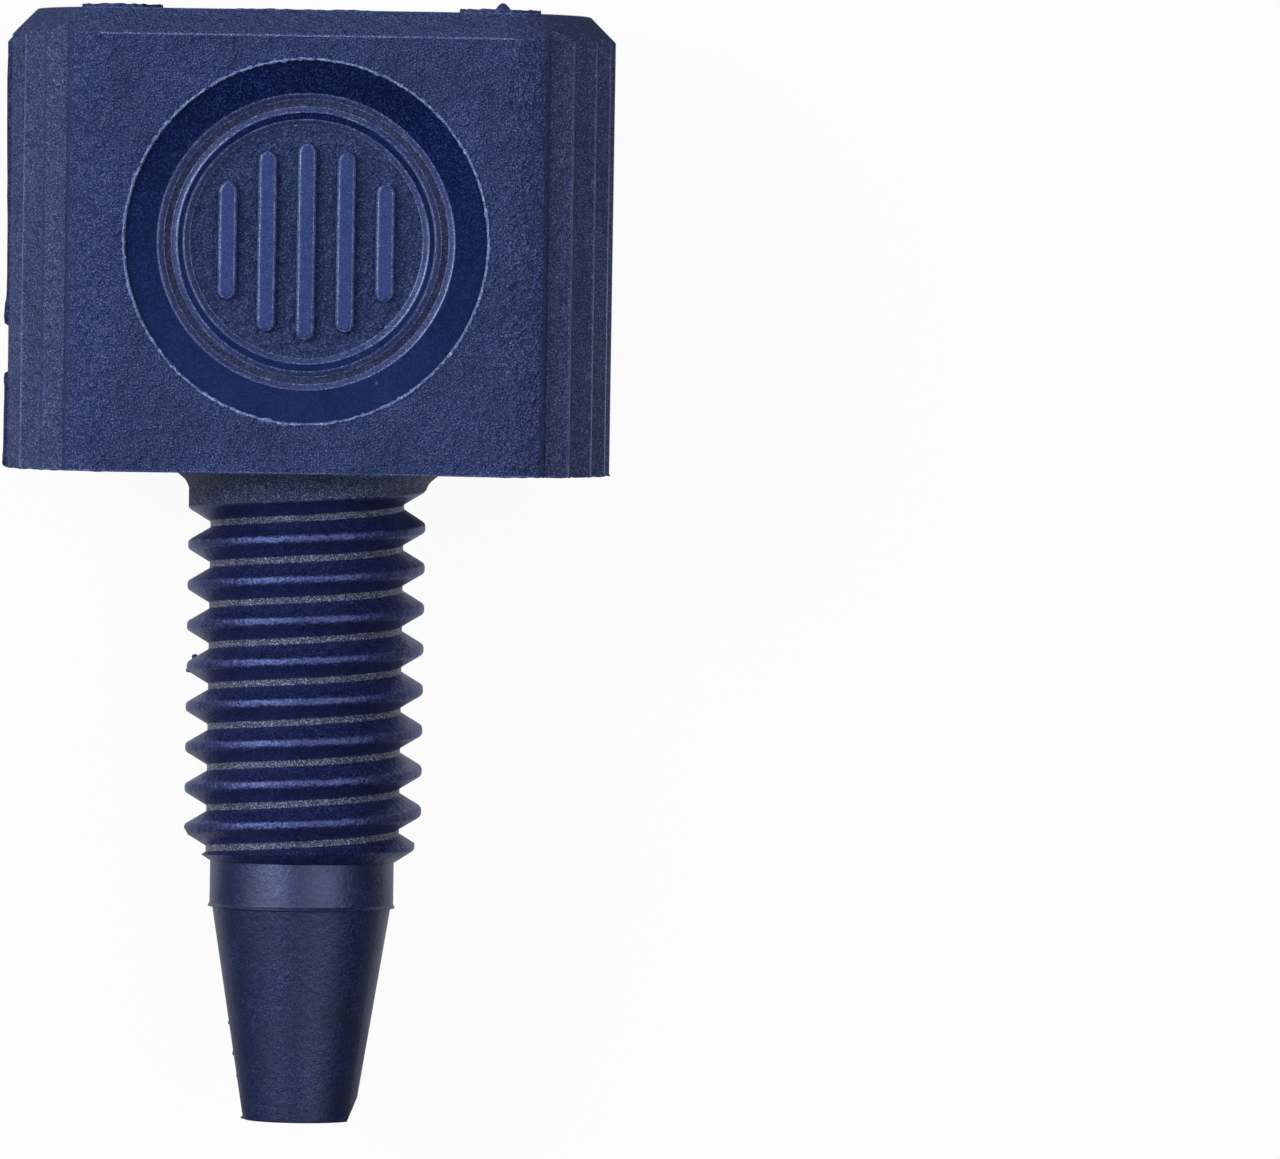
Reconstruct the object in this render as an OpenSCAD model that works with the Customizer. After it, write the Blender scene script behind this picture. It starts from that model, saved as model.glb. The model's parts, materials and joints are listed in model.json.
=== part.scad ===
// Finger-tight tube fitting, moulded in one piece.
// Each sub-part is modelled with the bore axis along Z, the underside of the head at z = 0,
// the head above it and the threaded shank and sealing cone below.  The whole part is then
// laid on one wide flat of its head, with the bore along Y and the head end towards +Y.

/* [Head] */
// Height of the head along the bore axis
head_h = 8.95; // [7.55:0.1:12]
// Radius of the head over the tips of its teeth
head_r = 5.9; // [5.5:0.05:7]
// Depth of the head across its two wide flats
head_depth = 7.75; // [7.3:0.05:9]
// Radius of the four corners between the flats and the toothed ends
head_corner_r = 1.5; // [0.8:0.1:1.8]
// Chamfer round the open end of the head
head_chamfer = 0.5; // [0.2:0.05:0.7]
// Number of teeth that a full circle would hold
tooth_count = 36; // [24:4:48]
// Depth of the teeth from tip to valley
tooth_depth = 0.24; // [0.1:0.02:0.34]

/* [Grip pads on the wide flats] */
// Radius of the round insert face
pad_r = 3.52; // [3:0.02:3.6]
// Depth of the round insert face below the flat
pad_depth = 0.07; // [0.04:0.01:0.12]
// Radius of the pocket inside the insert face
pocket_r = 2.8; // [2.5:0.05:2.9]
// Depth of the pocket below the flat
pocket_depth = 0.3; // [0.2:0.02:0.4]
// Gap between the pocket's wall and the raised ring
ring_gap = 0.24; // [0.15:0.01:0.35]
// Width of the raised ring
ring_w = 0.26; // [0.15:0.01:0.35]
// Height of the raised ring and ribs above the pocket's floor
relief_h = 0.2; // [0.1:0.01:0.2]
// Number of grip ribs
rib_count = 5; // [3:2:5]
// Width of one grip rib
rib_w = 0.42; // [0.3:0.02:0.5]
// Spacing of the grip ribs
rib_pitch = 0.76; // [0.7:0.02:0.8]
// Radius of the circle in which the rounded ribs end
rib_reach = 1.9; // [1.8:0.05:1.95]

/* [Cup in the head] */
// Radius of the cup at its mouth
cup_r = 3.12; // [3.05:0.01:3.2]
// Radius of the cup at its floor
cup_floor_r = 3; // [2.98:0.01:3.04]
// Depth of the cup
cup_depth = 6.9; // [5.5:0.1:7.2]

/* [Tube bore] */
// Radius of the bore for the capillary tube
bore_r = 0.88; // [0.85:0.01:0.92]
// Radius of the bore where it leaves the cup
bore_mouth_r = 0.95; // [0.93:0.01:1.1]
// Length of the tapered entry of the bore
bore_entry = 3; // [1:0.1:4]
// Radius of the close stretch of bore at the tip
tip_bore_r = 0.81; // [0.8:0.005:0.84]
// Length of the close stretch of bore at the tip
tip_bore_len = 1.1; // [0.6:0.1:2]
// Length of the taper between the bore and its close stretch
bore_taper = 0.6; // [0.6:0.1:1]

/* [Thread] */
// Axial distance from one turn to the next, 32 turns to the inch
thread_pitch = 0.79375; // [0.72:0.00125:0.9]
// Radius over the crests
thread_major_r = 2.32; // [2.25:0.01:2.38]
// Radius at the roots
thread_minor_r = 1.89; // [1.86:0.01:1.95]
// Angle between a flank and a plane square to the axis
flank_angle = 30; // [26:1:31]
// Flat left at the root between two flanks
root_flat = 0.118; // [0.08:0.002:0.14]
// Radial drop of the eased corners of a crest
crest_ease = 0.05; // [0.02:0.01:0.08]
// Length of the threaded shank below the head
thread_len = 7.64; // [6.04:0.1:9]
// Depth below the head of the first full groove, on the +X side
first_groove = 0.686; // [0.64:0.001:0.75]
// Angle over which the first groove deepens from nothing
run_out_turn = 180; // [120:10:240]
// Angle between the axis and the chamfer that ends the thread
end_chamfer_angle = 33; // [30:1:45]
// Facets in one turn
thread_facets = 36; // [24:4:48]

/* [Neck, collar and cone] */
// Radius of the neck's flare where it meets the head
neck_r = 2.64; // [2.5:0.01:2.8]
// Height of the neck's flare
neck_h = 0.31; // [0.2:0.01:0.4]
// Radius of the plain collar below the thread
collar_r = 1.8; // [1.77:0.01:1.85]
// Height of the plain collar
collar_h = 0.9; // [0.6:0.02:1.5]
// How far the witness lip stands out at the collar's lower edge
lip_out = 0.04; // [0.02:0.01:0.06]
// Height of the witness lip
lip_h = 0.1; // [0.06:0.01:0.2]
// Radius of the sealing cone at the collar
cone_r = 1.745; // [1.65:0.005:1.76]
// Radius of the sealing cone at the tip
cone_tip_r = 1.08; // [1.06:0.01:1.2]
// Length of the sealing cone
cone_h = 4.18; // [3.03:0.05:5]
// Rounding chamfer at the edge of the tip
tip_chamfer = 0.05; // [0.02:0.01:0.1]

/* [Moulding marks] */
// Radius of an ejector pin mark on the open end
mark_r = 0.77; // [0.6:0.01:0.8]
// Distance of the pin marks from the middle along the head's length
mark_x = 3.66; // [3.6:0.01:3.75]
// Distance of the pin marks from the middle across the flats
mark_y = 2.35; // [2.3:0.01:2.4]
// Depth of the pin marks
mark_depth = 0.03; // [0.02:0.01:0.05]
// Width of the burr round a pin mark
mark_burr_w = 0.06; // [0.04:0.01:0.08]
// Height of the burr round a pin mark
mark_burr_h = 0.06; // [0.04:0.01:0.08]
// Radius of the gate's stub on one pin mark
gate_r = 0.27; // [0.2:0.01:0.35]
// Height of the gate's stub above the open end
gate_h = 0.17; // [0.1:0.01:0.2]
// How far the parting line's flash stands out from the teeth at one side
flash_out = 0.1; // [0.04:0.01:0.12]
// Thickness of the flash
flash_t = 0.06; // [0.04:0.01:0.1]
// Height above the underside where the upper strip of flash starts
flash_up_from = 2.9; // [2.6:0.1:4]
// Height above the underside where the lower strip of flash ends
flash_low_to = 1.8; // [1:0.1:2.4]

/* [Hidden] */
$fn = 96;
eps = 0.02;
over = 1;

shank_len = thread_len + collar_h + cone_h;
wide_y = head_depth / 2;
chamfer_z = head_h - head_chamfer;
bore_z = head_h - cup_depth;
tip_z = -shank_len;

// Centre of the fillet between a wide flat and the toothed circle, seen along the bore.
corner_y = wide_y - head_corner_r;
corner_x = sqrt(pow(head_r - head_corner_r, 2) - pow(corner_y, 2));

// The points of one groove, from the crest above it to the crest below it.
flank_run = (thread_major_r - thread_minor_r) * tan(flank_angle);
groove_half = root_flat / 2 + flank_run;
ease_run = crest_ease * tan(flank_angle);
groove = [
    [-groove_half - crest_ease, thread_major_r],
    [-groove_half + ease_run, thread_major_r - crest_ease],
    [-root_flat / 2, thread_minor_r],
    [root_flat / 2, thread_minor_r],
    [groove_half - ease_run, thread_major_r - crest_ease],
    [groove_half + crest_ease, thread_major_r]
];
points_per_turn = len(groove);
turns_above = 2;
turns_below = 2;
thread_rows = points_per_turn * (ceil(thread_len / thread_pitch) + turns_above + turns_below);
thread_root_z = over;

// Depth below the head of point j of the groove line at column i.
function turn_of(j) = floor(j / points_per_turn) - turns_above;
function depth_at(i, j) = first_groove + (turn_of(j) - i / thread_facets) * thread_pitch
    + groove[j % points_per_turn][0];

// The thread is full below its run-out and ends in a chamfer on the collar.
function run_out(i, j) = min(1, max(0, 1 + (360 * (turn_of(j) - i / thread_facets)) / run_out_turn));
function groove_r(i, j) = thread_major_r
    - run_out(i, j) * (thread_major_r - groove[j % points_per_turn][1]);
function end_chamfer_r(depth) = collar_r + eps + (thread_len - depth) / tan(end_chamfer_angle);

// First and last point of a column that lie between the two ends of the thread.
function first_row(i, j = 0) = depth_at(i, j + 1) > -thread_root_z ? j : first_row(i, j + 1);
function last_row(i, j = 0) = depth_at(i, j) >= thread_len ? j : last_row(i, j + 1);
firsts = [for (i = [0 : thread_facets - 1]) first_row(i)];
lasts = [for (i = [0 : thread_facets - 1]) last_row(i)];

function thread_point(i, j) =
    let (depth = min(thread_len, max(-thread_root_z, depth_at(i, j))),
         r = min(groove_r(i, j), end_chamfer_r(depth)),
         a = 360 * i / thread_facets)
    [r * cos(a), r * sin(a), -depth];

// Number of the point at column i and row j, where a full turn comes back one pitch lower.
function wrap(i, j) = i < thread_facets
    ? i * thread_rows + min(lasts[i], max(firsts[i], j))
    : wrap(0, j - points_per_turn);
function is_whole(t) = t[0] != t[1] && t[1] != t[2] && t[2] != t[0];

module thread() {
    points = [for (i = [0 : thread_facets - 1], j = [0 : thread_rows - 1]) thread_point(i, j)];
    walls = [
        for (i = [0 : thread_facets - 1], j = [0 : thread_rows - 2])
            each [
                [wrap(i, j), wrap(i + 1, j), wrap(i, j + 1)],
                [wrap(i + 1, j), wrap(i + 1, j + 1), wrap(i, j + 1)]
            ]
    ];
    top = [for (i = [thread_facets - 1 : -1 : 0]) wrap(i, 0)];
    bottom = [for (i = [0 : thread_facets - 1]) wrap(i, thread_rows - 1)];
    polyhedron(points, concat([for (t = walls) if (is_whole(t)) t], [top, bottom]));
}

// Outline of the teeth, with a tip on each end of the head's long axis.
module tooth_ring() {
    step = 180 / tooth_count;
    polygon([
        for (k = [0 : 2 * tooth_count - 1])
            let (r = head_r - (k % 2) * tooth_depth)
            [r * cos(k * step), r * sin(k * step)]
    ]);
}

// What is cut from one corner of the head to leave its fillet, chamfered at the open end.
module corner_cut() {
    reach = 2 * head_corner_r;
    ray = [corner_x, corner_y] / norm([corner_x, corner_y]) * reach;
    difference() {
        translate([0, 0, -over])
            linear_extrude(head_h + 2 * over)
                polygon([
                    [corner_x, corner_y],
                    [corner_x, corner_y + reach],
                    [corner_x + reach, corner_y + reach],
                    [corner_x + ray[0], corner_y + ray[1]]
                ]);
        translate([corner_x, corner_y, -2 * over])
            cylinder(h = chamfer_z + 2 * over, r = head_corner_r);
        translate([corner_x, corner_y, chamfer_z])
            cylinder(h = head_chamfer, r1 = head_corner_r, r2 = head_corner_r - head_chamfer);
    }
}

// The head's block: a toothed prism with two wide flats and a chamfered open end.
module head_block() {
    top_y = wide_y - head_chamfer;
    difference() {
        intersection() {
            linear_extrude(head_h)
                tooth_ring();
            rotate([90, 0, 90])
                translate([0, 0, -head_r - over])
                    linear_extrude(2 * (head_r + over))
                        polygon([
                            [-wide_y, -over], [wide_y, -over],
                            [wide_y, chamfer_z], [top_y, head_h], [top_y, head_h + over],
                            [-top_y, head_h + over], [-top_y, head_h], [-wide_y, chamfer_z]
                        ]);
            rotate_extrude()
                polygon([
                    [0, -over], [head_r + over, -over], [head_r + over, chamfer_z - over],
                    [head_r - head_chamfer, head_h], [head_r - head_chamfer, head_h + over],
                    [0, head_h + over]
                ]);
        }
        for (side = [0, 1], flip = [0, 1])
            mirror([side, 0, 0])
                mirror([0, flip, 0])
                    corner_cut();
    }
}

// One grip rib with round ends, standing on the pocket's floor.
module rib(x) {
    half = sqrt(pow(rib_reach, 2) - pow(x, 2)) - rib_w / 2;
    translate([x - rib_w / 2, -half, 0])
        cube([rib_w, 2 * half, relief_h]);
    for (end = [-half, half])
        translate([x, end, 0])
            cylinder(h = relief_h, r = rib_w / 2);
}

// What is sunk into a wide flat: the insert face, and a pocket with its ring and ribs.
module grip_pad_cut() {
    ring_r = pocket_r - ring_gap;
    translate([0, 0, -pad_depth])
        cylinder(h = pad_depth + over, r = pad_r);
    difference() {
        translate([0, 0, -pocket_depth])
            cylinder(h = pocket_depth, r = pocket_r);
        translate([0, 0, -pocket_depth - over]) {
            difference() {
                cylinder(h = relief_h + over, r = ring_r);
                translate([0, 0, -over])
                    cylinder(h = relief_h + 3 * over, r = ring_r - ring_w);
            }
        }
        translate([0, 0, -pocket_depth])
            for (k = [0 : rib_count - 1])
                rib((k - (rib_count - 1) / 2) * rib_pitch);
    }
}

module grip_pads() {
    for (side = [0, 180])
        rotate([90, 0, side])
            translate([0, head_h / 2, wide_y])
                grip_pad_cut();
}

// Ejector pin marks on the open end: shallow discs, each with a thin burr round it.
module at_pin_marks() {
    for (x = [-mark_x, mark_x], y = [-mark_y, mark_y])
        translate([x, y, head_h])
            children();
}

module pin_dish() {
    translate([0, 0, -mark_depth])
        cylinder(h = mark_depth + over, r = mark_r);
}

module pin_burr() {
    rotate_extrude()
        translate([mark_r, 0])
            polygon([[0, -eps], [0, mark_burr_h], [mark_burr_w, 0], [mark_burr_w, -eps]]);
}

// The gate's stub: a small dome on one of the pin marks.
module gate_stub() {
    ball_r = (gate_r * gate_r + gate_h * gate_h) / (2 * gate_h);
    translate([mark_x, mark_y, head_h])
        difference() {
            translate([0, 0, gate_h - ball_r])
                sphere(r = ball_r);
            translate([-ball_r, -ball_r, -2 * ball_r - mark_depth - eps])
                cube(2 * ball_r);
        }
}

// Flash along the parting line at the -X teeth, broken off between its two strips.
module flash() {
    inside = tooth_depth / 2;
    strips = [[0, flash_low_to], [flash_up_from, chamfer_z]];
    for (strip = strips)
        translate([-head_r - flash_out, -flash_t / 2, strip[0]])
            cube([flash_out + inside, flash_t, strip[1] - strip[0]]);
}

// Plain surfaces of the shank: neck flare, collar and sealing cone.
module shank_surfaces() {
    translate([0, 0, -neck_h])
        cylinder(h = neck_h + eps, r1 = thread_major_r + eps / 2, r2 = neck_r);
    rotate_extrude()
        polygon([
            [0, -thread_len + eps], [collar_r, -thread_len + eps],
            [collar_r, lip_h - thread_len - collar_h],
            [collar_r + lip_out, -thread_len - collar_h], [cone_r, -thread_len - collar_h],
            [cone_tip_r, tip_z + tip_chamfer], [cone_tip_r - tip_chamfer, tip_z], [0, tip_z]
        ]);
}

// The cup and the stepped bore through the whole fitting, as one turned form.
module tube_way() {
    close_z = tip_z + tip_bore_len;
    rotate_extrude()
        polygon([
            [0, head_h + over], [cup_r, head_h + over], [cup_r, head_h],
            [cup_floor_r, bore_z], [bore_mouth_r, bore_z],
            [bore_r, bore_z - bore_entry], [bore_r, close_z + bore_taper],
            [tip_bore_r, close_z], [tip_bore_r, tip_z - over], [0, tip_z - over]
        ]);
}

module fitting() {
    color([0.2, 0.24, 0.44])
        translate([0, (shank_len - head_h - gate_h) / 2, wide_y])
            rotate([-90, 0, 0])
                difference() {
                    union() {
                        difference() {
                            head_block();
                            at_pin_marks()
                                pin_dish();
                        }
                        shank_surfaces();
                        thread();
                        at_pin_marks()
                            pin_burr();
                        gate_stub();
                        flash();
                    }
                    tube_way();
                    grip_pads();
                }
}

fitting();
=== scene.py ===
"""Dresses the finger-tight tube fitting: one navy moulding on a pale floor, seen from above.

The moulding is modelled in millimetres in its turning frame, with the bore along Z, the underside
of the head at Z = 0 and the head above it.  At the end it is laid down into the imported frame, with
the bore along Y and one wide flat of the head on the floor.  Sizes of the moulding are in
millimetres, those of the floor and the lamps in metres, and angles in degrees.
"""

import json
import logging
import math
from collections.abc import Callable
from dataclasses import dataclass, field
from enum import Enum
from typing import Self

import bmesh
import bpy
from mathutils import Matrix, Vector, noise

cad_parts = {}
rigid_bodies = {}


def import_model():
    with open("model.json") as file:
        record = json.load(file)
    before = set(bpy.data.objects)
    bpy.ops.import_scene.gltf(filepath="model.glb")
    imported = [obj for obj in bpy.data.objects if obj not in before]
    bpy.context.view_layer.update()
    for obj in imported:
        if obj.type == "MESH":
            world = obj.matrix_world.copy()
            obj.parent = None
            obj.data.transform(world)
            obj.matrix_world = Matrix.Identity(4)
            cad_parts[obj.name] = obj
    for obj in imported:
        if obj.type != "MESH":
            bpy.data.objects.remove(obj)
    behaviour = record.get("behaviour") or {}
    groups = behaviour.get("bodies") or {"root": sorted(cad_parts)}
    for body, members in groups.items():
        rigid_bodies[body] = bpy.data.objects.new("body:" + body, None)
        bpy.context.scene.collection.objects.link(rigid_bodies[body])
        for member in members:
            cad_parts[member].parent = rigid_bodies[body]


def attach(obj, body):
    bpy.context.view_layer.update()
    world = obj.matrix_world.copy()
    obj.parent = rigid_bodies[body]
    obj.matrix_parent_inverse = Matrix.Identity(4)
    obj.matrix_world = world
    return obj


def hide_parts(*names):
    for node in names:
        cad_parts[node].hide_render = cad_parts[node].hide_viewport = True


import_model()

LOG = logging.getLogger("fitting")
MM = 0.001
WELD = 1e-4
HAIR = WELD / 10
FULL_TURN = 2 * math.pi
FULL_TURN_DEGREES = 360.0
SIDES = (-1, 1)
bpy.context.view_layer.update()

Triple = tuple[float, float, float]
Pair = tuple[float, float]
Span = tuple[float, float]
Wear = tuple[float, float]
Feed = bpy.types.NodeSocket | float | tuple[float, ...]


class Region(Enum):
    """The areas of the moulding that carry different finishes."""

    ERODED = "eroded_head"
    # Chamfer band: a slightly darker colour as painted shade, against the key lamp that lights it
    # more.
    CHAMFER = "chamfer_band_painted_shade"
    # The polished insert carries a painted sheen that lightens it towards the neck.
    INSERT = "polished_insert"
    # The pocket's floor: a darker colour as painted shade from its walls.
    POCKET = "pocket_floor_painted_shade"
    RELIEF = "grip_relief"
    FLANK = "thread_flank"
    ROOT = "thread_root"
    SATIN = "satin_cone"
    CUP = "cup_wall"
    # The real burr round each insert face: a light colour as painted highlight.
    BURR = "burr_painted_highlight"
    # Edges and tooth tips: a lighter colour as painted highlight, on a glossier real finish.
    EDGE = "rubbed_edge"
    NECK = "neck_flare"
    # Creases and the -X tooth tips: a darker colour as painted shade.
    CREASE = "tooth_crease_painted_shade"
    # The groove round the ring: a dark colour as painted shade.
    GROOVE = "ring_groove_painted_shade"
    # Tooth flanks: a lighter colour as painted sheen, on a somewhat glossier real finish.
    TEETH = "tooth_flank_painted_sheen"


# ---------------------------------------------------------------------------------------------
# Drawing and edit-mode steps
# ---------------------------------------------------------------------------------------------


@dataclass
class Profile:
    """A half profile of (radius, height) corners, each of which may be rounded."""

    corners: list[Triple] = field(default_factory=list)
    arc_steps: int = 4

    def to(self, radius: float, height: float, rounding: float = 0.0) -> Self:
        """Add a corner, sharp or with a given rounding, and hand back the profile."""
        self.corners.append((radius, height, rounding))
        return self

    def points(self) -> list[Vector]:
        """Work out the drawn points, with an arc in place of each rounded corner.

        Returns:
            The points as vectors in the XZ plane.
        """
        drawn: list[Vector] = []
        for index, (radius, height, rounding) in enumerate(self.corners):
            here = Vector((radius, 0, height))
            if rounding and 0 < index < len(self.corners) - 1:
                before = Vector((self.corners[index - 1][0], 0, self.corners[index - 1][1]))
                after = Vector((self.corners[index + 1][0], 0, self.corners[index + 1][1]))
                drawn += self._arc(here, before, after, rounding)
            else:
                drawn.append(here)
        return drawn

    def _arc(self, here: Vector, before: Vector, after: Vector, rounding: float) -> list[Vector]:
        """Round one corner.

        Args:
            here: The corner.
            before: The corner drawn before it.
            after: The corner drawn after it.
            rounding: Radius of the arc.

        Returns:
            The points of the arc, from the side of before to the side of after.
        """
        back = (before - here).normalized()
        ahead = (after - here).normalized()
        half = back.angle(ahead) / 2
        reach = rounding / math.tan(half)
        centre = here + (back + ahead).normalized() * (rounding / math.sin(half))
        start = (here + back * reach - centre).normalized()
        end = (here + ahead * reach - centre).normalized()
        shares = [step / self.arc_steps for step in range(self.arc_steps + 1)]
        return [centre + start.slerp(end, share) * rounding for share in shares]


class Bench:
    """Edit-mode steps that every sub-assembly uses.

    A normal faces along an axis if its share along the axis is over axial.  The noise that makes
    pieces ragged runs over about half of 1 each way, and noise_swing brings it to the whole.  A
    wear is the pair of depth and grain that roughen takes.
    """

    axial: float = 0.99999
    noise_swing: float = 2.0

    @staticmethod
    def clear() -> None:
        """Leave edit mode and select nothing."""
        if bpy.context.object and bpy.context.object.mode != "OBJECT":
            bpy.ops.object.mode_set(mode="OBJECT")
        bpy.ops.object.select_all(action="DESELECT")

    @staticmethod
    def pick(piece: bpy.types.Object) -> None:
        """Select one object alone and make it the active one.

        Args:
            piece: The object.
        """
        Bench.clear()
        piece.select_set(True)
        bpy.context.view_layer.objects.active = piece

    @staticmethod
    def edit(piece: bpy.types.Object, select: str = "SELECT") -> None:
        """Open a piece in edit mode, by its vertices.

        Args:
            piece: The piece to open.
            select: SELECT to start with all of it selected, or DESELECT for none of it.
        """
        Bench.pick(piece)
        bpy.ops.object.mode_set(mode="EDIT")
        bpy.ops.mesh.select_mode(type="VERT")
        bpy.ops.mesh.select_all(action=select)

    @staticmethod
    def done() -> None:
        """Go back to object mode."""
        bpy.ops.object.mode_set(mode="OBJECT")

    @staticmethod
    def choose(
        piece: bpy.types.Object, kind: str, test: Callable[[object], bool]
    ) -> bmesh.types.BMesh:
        """Select what passes a test, in edit mode, and leave the rest unselected.

        Args:
            piece: The piece that is open.
            kind: What is tested, one of verts, edges and faces.
            test: Tells whether one of them is to be selected.

        Returns:
            The open mesh.
        """
        mesh = bmesh.from_edit_mesh(piece.data)
        for part in getattr(mesh, kind):
            part.select_set(test(part))
        bmesh.update_edit_mesh(piece.data)
        return mesh

    @staticmethod
    def close(piece: bpy.types.Object) -> bpy.types.Object:
        """Merge doubles and turn all faces of a closed piece outwards.

        Args:
            piece: The piece.

        Returns:
            The same piece, in object mode.
        """
        Bench.edit(piece)
        bpy.ops.mesh.remove_doubles(threshold=WELD)
        bpy.ops.mesh.normals_make_consistent(inside=False)
        Bench.done()
        return piece

    @staticmethod
    def line(name: str, points: list[Vector]) -> bpy.types.Object:
        """Draw an open line by extruding one vertex from point to point.

        Args:
            name: Name of the new object.
            points: The points of the line.

        Returns:
            The object, in object mode.
        """
        Bench.clear()
        bpy.ops.mesh.primitive_plane_add(size=1, location=(0, 0, 0))
        piece = bpy.context.object
        piece.name = name
        Bench.edit(piece)
        bpy.ops.mesh.merge(type="CENTER")
        bpy.ops.transform.translate(value=points[0])
        for start, end in zip(points, points[1:]):
            bpy.ops.mesh.extrude_region_move(TRANSFORM_OT_translate={"value": end - start})
        Bench.done()
        return piece

    @staticmethod
    def turned(name: str, profile: Profile, steps: int) -> bpy.types.Object:
        """Turn a profile round the bore axis into a closed piece.

        Args:
            name: Name of the new object.
            profile: The half profile, from axis to axis or closed on itself.
            steps: Number of facets in the full turn.

        Returns:
            The closed piece.
        """
        piece = Bench.line(name, profile.points())
        Bench.edit(piece)
        bpy.ops.mesh.spin(steps=steps, angle=FULL_TURN, center=(0, 0, 0), axis=(0, 0, 1))
        return Bench.close(piece)

    @staticmethod
    def cut_off(point: Vector, normal: Vector) -> None:
        """Cut away what lies beyond a plane and close the cut, in edit mode.

        Args:
            point: A point of the plane.
            normal: Direction from the plane to the side that is cut away.
        """
        bpy.ops.mesh.select_all(action="SELECT")
        bpy.ops.mesh.bisect(
            plane_co=point, plane_no=normal, use_fill=True, clear_outer=True, threshold=HAIR
        )

    @staticmethod
    def combine(piece: bpy.types.Object, tool: bpy.types.Object, operation: str) -> None:
        """Unite, cut or intersect a piece with a tool, which is used up.

        Args:
            piece: The piece to change.
            tool: The closed piece that it is combined with.
            operation: One of UNION, DIFFERENCE and INTERSECT.
        """
        Bench.pick(piece)
        step = piece.modifiers.new(operation.lower(), "BOOLEAN")
        step.operation = operation
        step.solver = "MANIFOLD"
        step.object = tool
        bpy.ops.object.modifier_apply(modifier=step.name)
        bpy.data.objects.remove(tool)

    @staticmethod
    def bevel(piece: bpy.types.Object, width: float, segments: int, angle: float) -> None:
        """Round all edges sharper than an angle.

        Args:
            piece: The piece to round.
            width: Width of the rounding.
            segments: Number of facets across it.
            angle: The angle in degrees.
        """
        Bench.pick(piece)
        step = piece.modifiers.new("rounding", "BEVEL")
        step.width = width
        step.segments = segments
        step.limit_method = "ANGLE"
        step.angle_limit = math.radians(angle)
        step.use_clamp_overlap = False
        bpy.ops.object.modifier_apply(modifier=step.name)

    @staticmethod
    def shade(piece: bpy.types.Object, angle: float) -> None:
        """Smooth the curved faces, and keep every flat one that faces along Y or Z flat.

        Args:
            piece: The piece to shade.
            angle: Edges sharper than this angle, in degrees, stay crisp.
        """
        Bench.pick(piece)
        bpy.ops.object.shade_smooth_by_angle(angle=math.radians(angle))
        mesh = bmesh.new()
        mesh.from_mesh(piece.data)
        mesh.normal_update()
        for edge in mesh.edges:
            normals = [face.normal for face in edge.link_faces]
            flat = [max(abs(normal.y), abs(normal.z)) > Bench.axial for normal in normals]
            if len(flat) == 2 and flat[0] != flat[1]:
                edge.smooth = False
        mesh.to_mesh(piece.data)
        mesh.free()

    @staticmethod
    def join(pieces: list[bpy.types.Object]) -> bpy.types.Object:
        """Join pieces into the first of them.

        Args:
            pieces: The pieces.

        Returns:
            The first piece, which now holds them all.
        """
        Bench.clear()
        for piece in pieces:
            piece.select_set(True)
        bpy.context.view_layer.objects.active = pieces[0]
        bpy.ops.object.join()
        return pieces[0]

    @staticmethod
    def thicken(line: bpy.types.Object, radius: float) -> bpy.types.Object:
        """Turn a closed line of edges into a round bead.

        Args:
            line: The line.
            radius: Radius of the bead's own section.

        Returns:
            The closed bead.
        """
        Bench.pick(line)
        bpy.ops.object.convert(target="CURVE")
        line.data.bevel_depth = radius
        line.data.bevel_resolution = 1
        bpy.ops.object.convert(target="MESH")
        return Bench.close(line)

    @staticmethod
    def roughen(piece: bpy.types.Object, depth: float, grain: float) -> bpy.types.Object:
        """Push the points in and out along their normals.

        Args:
            piece: The piece to make ragged.
            depth: Largest push.
            grain: Number of swells in a length of 1 mm.

        Returns:
            The same piece.
        """
        points = piece.data.vertices
        pushes = [point.normal * depth * noise.noise(point.co * grain) for point in points]
        for point, push in zip(points, pushes):
            point.co += push * Bench.noise_swing
        return piece

    @staticmethod
    def place(piece: bpy.types.Object, matrix: Matrix) -> bpy.types.Object:
        """Move a piece and apply the move, so that its place is in its mesh.

        Args:
            piece: The piece to move.
            matrix: The move.

        Returns:
            The same piece.
        """
        Bench.pick(piece)
        piece.matrix_world = matrix @ piece.matrix_world
        bpy.ops.object.transform_apply(location=True, rotation=True, scale=True)
        return piece


# ---------------------------------------------------------------------------------------------
# The moulding's sub-assemblies
# ---------------------------------------------------------------------------------------------


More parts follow.
